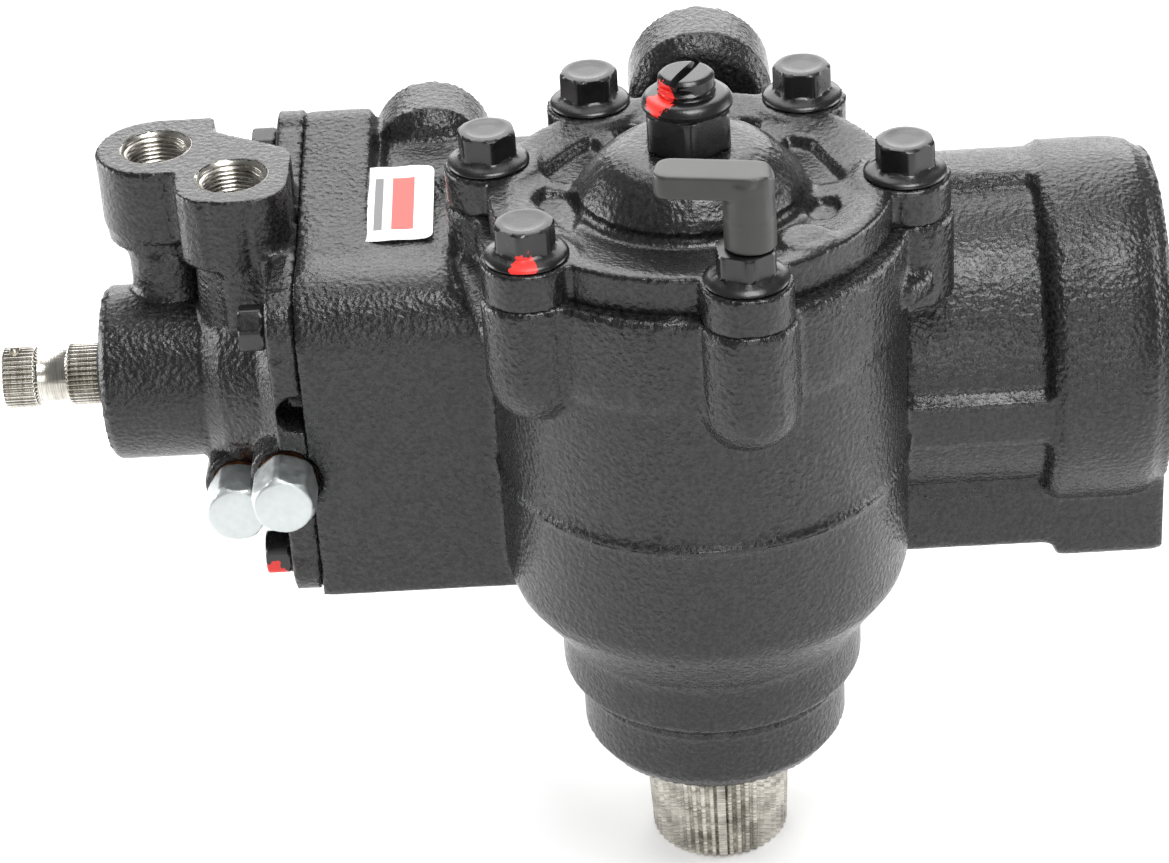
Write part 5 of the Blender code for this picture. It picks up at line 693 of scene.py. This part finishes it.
across = np.concatenate([np.linspace(-1, -0.19, 14), [-0.1778, 0.1778], np.linspace(0.19, 1, 14)])
side = np.linspace(-1, 1, 29)
v, u = np.meshgrid(side, across, indexing="ij")
tip_x = 0.0086 * u * np.sqrt(1 - v * v / 2)
tip_y = 0.0086 * v * np.sqrt(1 - u * u / 2)
tip_r = np.hypot(tip_x, tip_y)
tip_z = screw_top - 0.0012 * ((tip_r - 0.0072) / 0.0014).clip(0, 1) ** 1.5
tip_z = np.where(np.abs(u) < 0.18, screw_top - 0.0030, tip_z)
under_z = np.full_like(tip_z, screw_top - 0.0050)
upper = np.stack([tip_x, tip_y, tip_z], axis=-1)
lower = np.stack([tip_x, tip_y, under_z], axis=-1)
tip_grid = np.concatenate([upper, lower[:, ::-1]], axis=1)
slot_angle = 0.49
slot_turn = np.array([[cos(slot_angle), -sin(slot_angle), 0], [sin(slot_angle), cos(slot_angle), 0],
                      [0, 0, 1]])
tip = shade(grid_piece("adjuster_slotted_tip", stood(tip_grid @ slot_turn, (0, SECTOR_Y, 0))), 30)

nut_flats = 0.0254
nut_foot, nut_top = 0.1017, 0.1189
nut_rows = [(nut_top, 0.0091), (nut_top, 0.0108), (nut_top - 0.0005, 0.0122), (nut_top - 0.0014, 0.0133),
            (nut_top - 0.0028, 0.0141), (nut_top - 0.0040, 0.0139), (nut_top - 0.0046, 0.0132),
            (nut_top - 0.0048, 0.0132), (nut_top - 0.0052, 0.0139), (nut_top - 0.0062, 0.0148),
            (nut_foot + 0.0018, 0.0148), (nut_foot + 0.0010, 0.0142), (nut_foot + 0.0003, 0.0132),
            (nut_foot, 0.0128), (nut_foot, 0.0091)]
nut_points = headed(nut_rows, nut_flats, (nut_foot, nut_top - 0.0047))
lock_nut = shade(grid_piece("adjuster_nut", stood(nut_points, (0, SECTOR_Y, 0))), 28)
nut_mark = ((-0.0085, SECTOR_Y - 0.0065, nut_top + 0.0008), 0.0050)
marked_nut_steel = painted_steel("black_enamel_nut_with_red_dab", nut_mark)
finish_piece(lock_nut, marked_nut_steel, "housing", "black_steel", "adjuster_lock_nut")
finish_piece(screw, marked_nut_steel, "housing", "bright_steel", "adjuster_screw")
finish_piece(tip, marked_nut_steel, "housing", "bright_steel", "adjuster_screw")


# Valve housing: an iron casting with the valve's bore, two hose ports in a block on top and a
# four-bolt flange. It is painted as the housing is, but the ports' face was milled first, so the
# film lies smooth and grey on it, and the threads in the ports are bare bright steel.

port_top = 0.076
ports = {"return": (-0.1745, -0.051), "supply": (-0.1475, -0.075)}
valve_bolts = [(-0.110, 0.039), (-0.111, -0.046), (-0.020, 0.057), (-0.022, -0.046)]
valve_forms = [
    ("x", (RACK_Y, 0), [(0.0270, -0.197), (0.0287, -0.1962), (0.0295, -0.1945), (0.0295, -0.163)], 1),
    ("x", (RACK_Y, 0), [(0.0295, -0.163), (0.0345, -0.157), (0.0420, -0.1433)], 1),
    ("x", (RACK_Y, 0), [(0.04355, -0.1270), (0.04355, -0.1215)], 1),
    ("z", ports["return"], [(0.0200, 0.052), (0.0200, port_top)], 1),
    ("z", ports["return"], [(0.0190, 0.046), (0.0190, 0.049)], 1),
    ("z", ports["supply"], [(0.0190, 0.051), (0.0190, port_top)], 1),
    ("z", ports["return"], [(0.0103, 0.054), (0.0103, 0.0740)], -1),
    ("z", ports["supply"], [(0.0103, 0.054), (0.0103, 0.0740)], -1),
    ("y", (-0.1355, -0.0117), [(0.0120, -0.119), (0.0120, -0.080)], 1),
    ("y", (-0.1535, -0.0255), [(0.0120, -0.1005), (0.0120, -0.080)], 1),
]
valve_forms += [("x", place, [(0.0130, -0.1371), (0.0130, -0.1280)], 1) for place in valve_bolts]
valve_flats = [("z", port_top, 1), ("x", -0.1278, 1), ("x", -0.197, -1), ("y", -0.1195, -1),
               ("y", -0.101, -1)]
valve_form = merged_copy("valve_housing", "valve_housing_casting")
valve_housing = cast_skin(valve_form, 0.0011, valve_forms, valve_flats, 7, 0.00022, 185000)
finish_piece(valve_housing, casting_enamel, "housing", "black_paint", "valve_housing")


def machined_steel(name, colour, dark, rough, streak_axis, streak_mm=0.35):
    """Machined steel: bright metal with cutter marks streak_mm apart along one axis, a little
    grime between them, and a broad patchiness in its gloss."""
    material, tree, output, place = new_material(name)
    stretch = [1000 / (streak_mm * 30)] * 3
    stretch["xyz".index(streak_axis)] = 1000 / streak_mm
    mapped = add_node(tree, "ShaderNodeMapping", {"Scale": stretch}, {"Vector": place})
    marks = add_node(tree, "ShaderNodeTexNoise", {"Scale": 1.0, "Detail": 3.0}, {"Vector": mapped.outputs[0]})
    broad = add_node(tree, "ShaderNodeTexNoise", {"Scale": 1000 / 9, "Detail": 3.0}, {"Vector": place})
    both = add_node(tree, "ShaderNodeMath", {"operation": "MULTIPLY"},
                    {0: marks.outputs["Fac"], 1: broad.outputs["Fac"]})
    share = add_node(tree, "ShaderNodeMapRange", {"From Min": 0.12, "From Max": 0.36},
                     {"Value": both.outputs[0]})
    tint = add_node(tree, "ShaderNodeMix", {"data_type": "RGBA", 6: linear(dark), 7: linear(colour)},
                    {0: share.outputs[0]})
    gloss = add_node(tree, "ShaderNodeMapRange", {"From Min": 0.2, "From Max": 0.8, "To Min": rough + 0.08,
                     "To Max": rough - 0.06}, {"Value": marks.outputs["Fac"]})
    bump = add_node(tree, "ShaderNodeBump", {"Distance": 0.00003, "Strength": 0.6},
                    {"Height": marks.outputs["Fac"]})
    shader = add_node(tree, "ShaderNodeBsdfPrincipled", {"Metallic": 1.0},
                      {"Base Color": tint.outputs[2], "Roughness": gloss.outputs[0],
                       "Normal": bump.outputs[0]})
    tree.links.new(shader.outputs[0], output.inputs[0])
    return material


def port_thread(name, at):
    """The port's thread: a ring whose inner wall follows r = root - depth * |saw(h / pitch - a)|,
    with a chamfered mouth, and whose outer wall lies in the casting."""
    turns = np.linspace(0, 2 * pi, 72, endpoint=False)
    depths = np.linspace(-0.0012, -0.0215, 150)
    saw = np.abs(((depths[:, None] / 0.0015 - turns[None] / (2 * pi)) % 1) * 2 - 1)
    fade = ((-0.0004 - depths[:, None]) / 0.0016).clip(0, 1)
    inner = 0.0103 + 0.0009 * (1 - fade) - 0.0009 * saw * fade
    points = np.stack([inner * np.cos(turns), inner * np.sin(turns), np.repeat(depths[:, None], 72, 1)],
                      axis=-1)
    mouth = [[r * np.cos(turns), r * np.sin(turns), np.full(72, d)]
             for r, d in ((0.0112, -0.0218), (0.0128, -0.0210), (0.0128, -0.0004), (0.0120, 0.00005),
                          (0.0114, -0.0004))]
    mouth = np.stack([np.stack(ring, axis=-1) for ring in mouth])
    rings = np.concatenate([mouth[2:], points, mouth[:3]])
    return shade(grid_piece(name, stood(rings, (*at, port_top)), close_ends=False), 60)


thread_steel = machined_steel("bare_cut_thread", "d6d2ca", "6f6b64", 0.26, "z")
for name, place in ports.items():
    finish_piece(port_thread(f"{name}_port_thread", place), thread_steel, "housing", "bright_steel")


# Valve housing bolts: four hexagon bolts through the flange, forged and sprayed black in place.
# The lower front one carries a dab of red inspection paint on its corner.

bolt_seat_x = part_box("valve_bolt_1")[0].x
low_bolt = valve_bolts[1]
valve_mark = ((-0.1440, low_bolt[0] - 0.006, low_bolt[1] - 0.0050), 0.0050)
marked_valve_steel = painted_steel("black_enamel_valve_bolt_with_red_dab", valve_mark)
for number, (y, z) in enumerate(valve_bolts, 1):
    rows = [(0.0079, 0.0030), (0.0079, 0.0044), (0.0085, 0.0052), (0.0085, 0.0066), (0.0083, 0.0072),
            (0.0078, 0.0077), (0.0070, 0.0081), (0.0016, 0.0085), (0.0012, 0.0080), (0.0006, 0.0072),
            (0.0001, 0.0070), (0.0001, 0.0050), (-0.0285, 0.0050)]
    points = headed(rows, 0.014, (0.0011, 0.0086), radians(15 * number))
    points = stood(points, (bolt_seat_x + 0.0085, y, z), (-1, 0, 0))
    bolt = shade(grid_piece(f"valve_flange_bolt_{number}", points), 28)
    finish_piece(bolt, marked_valve_steel if number == 2 else bolt_steel, "housing", "black_steel",
                 f"valve_bolt_{number}")


# Hexagon plugs: two steel plugs, 19 mm across flats, that close the valve's drillings from the
# front on copper washers. They are bright zinc plated, with a bluish shine, turned corners and
# smooth faces, and were fitted after painting.

def zinc_plated(name):
    """Bright zinc on turned steel: pale bluish metal, with a soft bloom of 3 mm patches."""
    material, tree, output, place = new_material(name)
    bloom = add_node(tree, "ShaderNodeTexNoise", {"Scale": 1000 / 3, "Detail": 3.0}, {"Vector": place})
    fine = add_node(tree, "ShaderNodeTexNoise", {"Scale": 1000 / 0.6, "Detail": 2.0}, {"Vector": place})
    tint = add_node(tree, "ShaderNodeMix", {"data_type": "RGBA", 6: linear("b4bcbc"), 7: linear("dcdfde")},
                    {0: bloom.outputs["Fac"]})
    gloss = add_node(tree, "ShaderNodeMapRange",
                     {"From Min": 0.3, "From Max": 0.7, "To Min": 0.42, "To Max": 0.54},
                     {"Value": bloom.outputs["Fac"]})
    bump = add_node(tree, "ShaderNodeBump", {"Distance": 0.00002, "Strength": 0.4},
                    {"Height": fine.outputs["Fac"]})
    shader = add_node(tree, "ShaderNodeBsdfPrincipled", {"Metallic": 1.0},
                      {"Base Color": tint.outputs[2], "Roughness": gloss.outputs[0],
                       "Normal": bump.outputs[0]})
    tree.links.new(shader.outputs[0], output.inputs[0])
    return material


zinc = zinc_plated("bright_zinc_plate")
for name, (x, z), seat_y, turn in (("front", (-0.1355, -0.0117), -0.1195, 10),
                                   ("rear", (-0.1535, -0.0255), -0.101, 25)):
    foot, top = 0.0019, 0.0189
    rows = [(top, 0.0040), (top, 0.0086), (top - 0.0002, 0.0091), (top - 0.0006, 0.0095),
            (top - 0.0012, 0.0100), (top - 0.0020, 0.01045), (top - 0.0030, 0.0109), (foot + 0.0014, 0.0109),
            (foot + 0.0006, 0.0102), (foot, 0.0094), (foot, 0.0070), (-0.0080, 0.0070), (-0.0089, 0.0062)]
    points = headed(rows, 0.019, (foot, top + 0.0001), radians(turn))
    plug = shade(grid_piece(f"{name}_zinc_plug", stood(points, (x, seat_y - 0.0003, z), (0, -1, 0))), 28)
    finish_piece(plug, zinc, "housing", "zinc_plate", f"{name}_hex_plug")


# Input shaft: a ground steel shaft with two bands of rolled serrations for the steering
# coupling, a clamp groove between them, and a cross-drilled tip where the torsion bar is
# pinned. The valve's spool on its inner end is kept from the solid.

def cut_end(node, name, plane_point, plane_normal):
    """A merged copy of a node without what lies beyond a plane, closed again at the cut."""
    piece = merged_copy(node, name)
    form = bmesh.new()
    form.from_mesh(piece.data)
    everything = form.verts[:] + form.edges[:] + form.faces[:]
    bmesh.ops.bisect_plane(form, geom=everything, plane_co=plane_point, plane_no=plane_normal,
                           clear_outer=True)
    bmesh.ops.holes_fill(form, edges=[edge for edge in form.edges if edge.is_boundary])
    bmesh.ops.recalc_face_normals(form, faces=form.faces)
    form.to_mesh(piece.data)
    form.free()
    return shade(piece, 20)


def serration(angles, count, sharpness=1.6):
    """Flat-topped rolled teeth: 0 on a crest and 1 in a groove, a cosine raised to a power."""
    return ((1 - np.cos(angles * count)) / 2) ** sharpness


def serrated_rings(heights, radii, depths, count, columns):
    """Rings about +Z with radius r - depth * serration(angle) at each height."""
    turns = np.linspace(0, 2 * pi, columns, endpoint=False)
    teeth = serration(turns, count)
    radius = np.array(radii)[:, None] - np.array(depths)[:, None] * teeth[None]
    h = np.repeat(np.array(heights)[:, None], columns, 1)
    return radius, turns, h


shaft_r = 0.01032
rows = [(-0.2330, 0.0094, 0.0007), (-0.2328, 0.0098, 0.0009), (-0.2324, 0.0102, 0.0010)]
rows += [(x, shaft_r, 0.0010) for x in np.linspace(-0.2320, -0.2222, 44)]
rows += [(-0.2218, 0.0099, 0.0007), (-0.2214, 0.0090, 0.0001), (-0.2208, 0.0086, 0), (-0.2175, 0.0085, 0),
         (-0.2117, 0.0086, 0), (-0.2111, 0.0091, 0.0001), (-0.2107, 0.0100, 0.0008)]
rows += [(x, shaft_r, 0.0010) for x in np.linspace(-0.2103, -0.2008, 8)]
rows += [(-0.2004, shaft_r, 0.0003), (-0.2002, shaft_r - 0.0001, 0), (-0.1960, shaft_r - 0.0001, 0)]
along, radii, depths = (np.array(column) for column in zip(*rows))
radius, turns, h = serrated_rings(along, radii, depths, 36, 360)
hole_x = -0.2285
for hole_angle in (pi / 2, 3 * pi / 2):
    round_way = (turns - hole_angle + pi) % (2 * pi) - pi
    distance = np.hypot(h - hole_x, round_way[None] * shaft_r)
    radius -= 0.0030 * (1 - ((distance - 0.0018) / 0.0005).clip(0, 1))
tip_points = np.stack([h, RACK_Y + radius * np.cos(turns), radius * np.sin(turns)], axis=-1)
shaft_tip = shade(grid_piece("input_shaft_tip", tip_points), 40)
shaft_inner = cut_end("input_shaft", "input_shaft_spool", (-0.197, 0, 0), (-1, 0, 0))
ground_steel = machined_steel("rolled_and_ground_shaft_steel", "dedad2", "8f8a80", 0.24, "x")
for piece in (shaft_tip, shaft_inner):
    finish_piece(piece, ground_steel, "input_stub", "bright_steel", "input_shaft")


# Sector shaft: a forged and carburised steel shaft with the gear's teeth inside and tapered
# serrations below for the pitman arm. The serrations are cut after hardening, bright on their
# crests with dark oil in the grooves, and the end is turned flat.

top_z, end_z = -0.1180, -0.1600
rows = [(-0.1140, 0.0230, 0), (-0.1172, 0.0230, 0), (-0.1178, 0.0240, 0.0003)]
rows += [(z, 0.0247 - 0.0017 * (top_z - z) / (top_z - end_z), 0.0013)
         for z in np.linspace(-0.1184, -0.1590, 24)]
rows += [(-0.1595, 0.0227, 0.0012), (-0.1598, 0.0223, 0.0009), (-0.1600, 0.0218, 0.0004)]
along, radii, depths = (np.array(column) for column in zip(*rows))
radius, turns, h = serrated_rings(along, radii, depths, 48, 480)
blank = np.abs((turns + pi / 2 + pi) % (2 * pi) - pi) < pi / 48
radius[:, blank] = radii[:, None]
lower_points = np.stack([radius * np.cos(turns), radius * np.sin(turns), h], axis=-1)
shaft_lower = shade(grid_piece("sector_shaft_serrations", stood(lower_points, (0, SECTOR_Y, 0))), 40)
shaft_upper = cut_end("sector_shaft", "sector_shaft_gear", (0, SECTOR_Y, -0.1155), (0, 0, -1))
arm_steel = machined_steel("cut_serration_steel", "d9d5cc", "7b7870", 0.27, "z")
for piece in (shaft_lower, shaft_upper):
    finish_piece(piece, arm_steel, "sector", "bright_steel", "sector_shaft")


# Label: a printed vinyl sticker with rounded corners on the left block. Its print is left off,
# and plain bars stand in for it. It bridges the casting's grain and lifts a little at the back.

def label_vinyl(name):
    """White gloss vinyl with one plain red bar and one plain grey bar across it."""
    material, tree, output, place = new_material(name)
    axes = add_node(tree, "ShaderNodeSeparateXYZ", {}, {0: place})
    faint = add_node(tree, "ShaderNodeTexNoise", {"Scale": 1000 / 5, "Detail": 2.0}, {"Vector": place})
    white = add_node(tree, "ShaderNodeMix", {"data_type": "RGBA", 6: linear("eef0f0"), 7: linear("fafafa")},
                     {0: faint.outputs["Fac"]})
    colour = white.outputs[2]
    for middle, half, shade_hex in ((-0.0935, 0.0036, "d2463c"), (-0.1015, 0.0014, "6e6e70")):
        offset = add_node(tree, "ShaderNodeMath", {"operation": "SUBTRACT", 1: middle}, {0: axes.outputs[0]})
        size = add_node(tree, "ShaderNodeMath", {"operation": "ABSOLUTE"}, {0: offset.outputs[0]})
        bar = add_node(tree, "ShaderNodeMath", {"operation": "LESS_THAN", 1: half}, {0: size.outputs[0]})
        reach = add_node(tree, "ShaderNodeMath", {"operation": "SUBTRACT", 1: -0.0680}, {0: axes.outputs[1]})
        length = add_node(tree, "ShaderNodeMath", {"operation": "ABSOLUTE"}, {0: reach.outputs[0]})
        within = add_node(tree, "ShaderNodeMath", {"operation": "LESS_THAN", 1: 0.0140},
                          {0: length.outputs[0]})
        share = add_node(tree, "ShaderNodeMath", {"operation": "MULTIPLY"},
                         {0: bar.outputs[0], 1: within.outputs[0]})
        mixed = add_node(tree, "ShaderNodeMix", {"data_type": "RGBA", 7: linear(shade_hex)},
                         {0: share.outputs[0], 6: colour})
        colour = mixed.outputs[2]
    shader = add_node(tree, "ShaderNodeBsdfPrincipled", {"IOR": 1.5, "Roughness": 0.3},
                      {"Base Color": colour})
    tree.links.new(shader.outputs[0], output.inputs[0])
    return material


label_low, label_high = np.array([-0.1088, -0.0876]), np.array([-0.0835, -0.0480])
label_middle, label_half = (label_low + label_high) / 2, (label_high - label_low) / 2
u, v = np.meshgrid(np.linspace(-1, 1, 41), np.linspace(-1, 1, 61), indexing="ij")
corner = 0.0030
inset = label_half - corner
flat_x, flat_y = u * label_half[0], v * label_half[1]
over_x, over_y = (np.abs(flat_x) - inset[0]).clip(0), (np.abs(flat_y) - inset[1]).clip(0)
reach = np.hypot(over_x, over_y)
pull = np.where(reach > 0, np.maximum(over_x, over_y) / reach.clip(1e-9), 1)
flat_x = np.sign(flat_x) * (np.minimum(np.abs(flat_x), inset[0]) + over_x * pull)
flat_y = np.sign(flat_y) * (np.minimum(np.abs(flat_y), inset[1]) + over_y * pull)
lift = 0.0004 * ((v - 0.4) / 0.6).clip(0) ** 2 + 0.00012 * np.sin(u * 7 + v * 5)
rise = 0.0559 + (0.0059 / 0.0395) * (flat_y + label_middle[1] + 0.0875)
face = np.stack([flat_x + label_middle[0], flat_y + label_middle[1], rise + lift], axis=-1)
back = face - np.array([0, 0, 0.00015])
label_points = np.concatenate([face, back[:, ::-1]], axis=1)
label = shade(grid_piece("blank_label", label_points, close_ends=True), 40)
finish_piece(label, label_vinyl("gloss_white_vinyl"), "housing", "black_paint")


# What is left as its solid gives it: the washers, seals, bearings and everything inside. Each
# is turned, ground, drawn or moulded to the solid's own shape and only takes its finish here.

def moulded_rubber(name):
    """Nitrile rubber from a plain mould: deep matt black, with a faint bloom of 4 mm patches."""
    material, tree, output, place = new_material(name)
    bloom = add_node(tree, "ShaderNodeTexNoise", {"Scale": 1000 / 4, "Detail": 3.0}, {"Vector": place})
    tint = add_node(tree, "ShaderNodeMix", {"data_type": "RGBA", 6: linear("161617"), 7: linear("232324")},
                    {0: bloom.outputs["Fac"]})
    shader = add_node(tree, "ShaderNodeBsdfPrincipled", {"IOR": 1.52, "Roughness": 0.62},
                      {"Base Color": tint.outputs[2]})
    tree.links.new(shader.outputs[0], output.inputs[0])
    return material


nitrile = moulded_rubber("moulded_nitrile_rubber")
turned_steel = machined_steel("turned_case_hardened_steel", "c2bfb8", "85817a", 0.32, "x")
ball_steel = machined_steel("ground_bearing_steel", "d4d6d8", "a9abae", 0.20, "z")
copper = machined_steel("soft_copper_washer", "c07a50", "8a5233", 0.36, "y")
bronze = machined_steel("turned_bearing_bronze", "b5854a", "80592b", 0.34, "z")
finishes = {
    nitrile: ("sector_oil_seal", "sector_dust_seal", "cover_seal", "valve_housing_seal", "end_plug_seal",
              "input_shaft_seal", "input_dust_seal"),
    turned_steel: ("lower_sector_bearing", "seal_backup_washer", "sector_snap_ring", "adjuster_retainer",
                   "rack_piston", "worm_shaft", "bearing_retainer", "input_needle_bearing"),
    bolt_steel: ("end_plug", "end_retaining_ring"),
    ball_steel: ("piston_ring", "ball_return_tube", "return_clamp", "clamp_screw_1", "clamp_screw_2",
                 "valve_sleeve", "worm_bearing_outer", "worm_bearing_inner", "torsion_bar", "torsion_bar_pin",
                 *(f"steel_ball_{number}" for number in range(1, 7))),
    copper: ("front_plug_washer", "rear_plug_washer"),
    bronze: ("upper_sector_bushing",),
}
for material, names in finishes.items():
    for name in names:
        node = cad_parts[name]
        node.data.materials.clear()
        node.data.materials.append(material)


# Studio: the gearbox stands on a plain pale floor before a white sky. Two softboxes hang over it
# and a broad one stands behind, with weaker ones at the left, the right and the front.

def studio_white(name, glow):
    """Matt white paper that adds a little light of its own where it is seen or reflected."""
    material, tree, output, _ = new_material(name)
    rays = add_node(tree, "ShaderNodeLightPath")
    seen = add_node(tree, "ShaderNodeMath", {"operation": "MAXIMUM"},
                    {0: rays.outputs["Is Camera Ray"], 1: rays.outputs["Is Glossy Ray"]})
    seen = add_node(tree, "ShaderNodeMath", {"operation": "MAXIMUM"},
                    {0: seen.outputs[0], 1: rays.outputs["Is Transmission Ray"]})
    strength = add_node(tree, "ShaderNodeMath", {"operation": "MULTIPLY", 1: glow}, {0: seen.outputs[0]})
    paper = add_node(tree, "ShaderNodeBsdfDiffuse", {"Color": linear("f4f4f4")})
    light = add_node(tree, "ShaderNodeEmission", {"Color": (1, 1, 1, 1)}, {"Strength": strength.outputs[0]})
    both = add_node(tree, "ShaderNodeAddShader", {}, {0: paper.outputs[0], 1: light.outputs[0]})
    tree.links.new(both.outputs[0], output.inputs[0])
    return material


floor_z = cad_box[0][2] - 0.0004
floor_mesh = bpy.data.meshes.new("floor")
floor_mesh.from_pydata([(-6, -6, floor_z), (6, -6, floor_z), (6, 6, floor_z), (-6, 6, floor_z)], [],
                       [(0, 1, 2, 3)])
floor = bpy.data.objects.new("floor", floor_mesh)
bpy.context.scene.collection.objects.link(floor)
floor.data.materials.append(studio_white("white_paper_floor", 0.25))

world = bpy.data.worlds.new("studio")
bpy.context.scene.world = world
world.use_nodes = True
world.node_tree.nodes.clear()
sky_rays = add_node(world.node_tree, "ShaderNodeLightPath")
sky_fill = add_node(world.node_tree, "ShaderNodeBackground", {"Color": (1, 1, 1, 1), "Strength": 0.22})
sky_seen = add_node(world.node_tree, "ShaderNodeBackground", {"Color": (1, 1, 1, 1), "Strength": 1.0})
sky_mix = add_node(world.node_tree, "ShaderNodeMixShader", {},
                   {0: sky_rays.outputs["Is Camera Ray"], 1: sky_fill.outputs[0], 2: sky_seen.outputs[0]})
add_node(world.node_tree, "ShaderNodeOutputWorld", {}, {0: sky_mix.outputs[0]})

for name, at, size, power in (("overhead_softbox", (0.18, -0.53, 1.22), 0.6, 12),
                              ("rear_softbox", (0.02, 1.4, 0.85), 1.8, 30),
                              ("top_softbox", (-0.10, 0.45, 1.15), 0.8, 6),
                              ("left_softbox", (-1.1, 0.2, 0.12), 0.7, 10),
                              ("right_softbox", (1.1, 0.1, 0.15), 0.7, 8),
                              ("front_softbox", (0.23, -1.72, 0.52), 0.9, 8)):
    lamp = bpy.data.lights.new(name, "AREA")
    lamp.shape = "SQUARE"
    lamp.size = size
    lamp.energy = power
    light = bpy.data.objects.new(name, lamp)
    bpy.context.scene.collection.objects.link(light)
    light.location = at
    light.rotation_euler = (Vector((-0.03, -0.11, 0)) - Vector(at)).to_track_quat("-Z", "Y").to_euler()


# The camera stands 31.5 degrees above the shafts' plane, 1.5 degrees round and 1.097 m away,
# rolled 3.9 degrees, with a lens that is 3400 of the photograph's pixels long.
elevation, azimuth, roll = radians(31.5), radians(1.5), radians(3.9)
target = Vector((-0.038, -0.120, -0.0005))
distance = 1.097
back = Vector((sin(azimuth) * cos(elevation), -cos(azimuth) * cos(elevation), sin(elevation)))
level_right = Vector((cos(azimuth), sin(azimuth), 0))
level_up = back.cross(level_right)
right = cos(roll) * level_right - sin(roll) * level_up
up = back.cross(right)
lens = bpy.data.cameras.new("camera")
lens.sensor_width = 36
lens.lens = 3400 / 1169 * 36
camera = bpy.data.objects.new("camera", lens)
bpy.context.scene.collection.objects.link(camera)
turn = Matrix((right, up, back)).transposed().to_4x4()
camera.matrix_world = Matrix.Translation(target + back * distance) @ turn
bpy.context.scene.camera = camera
bpy.context.scene.view_settings.view_transform = "Standard"

print("solids' box ", [[round(float(c), 5) for c in corner] for corner in cad_box])
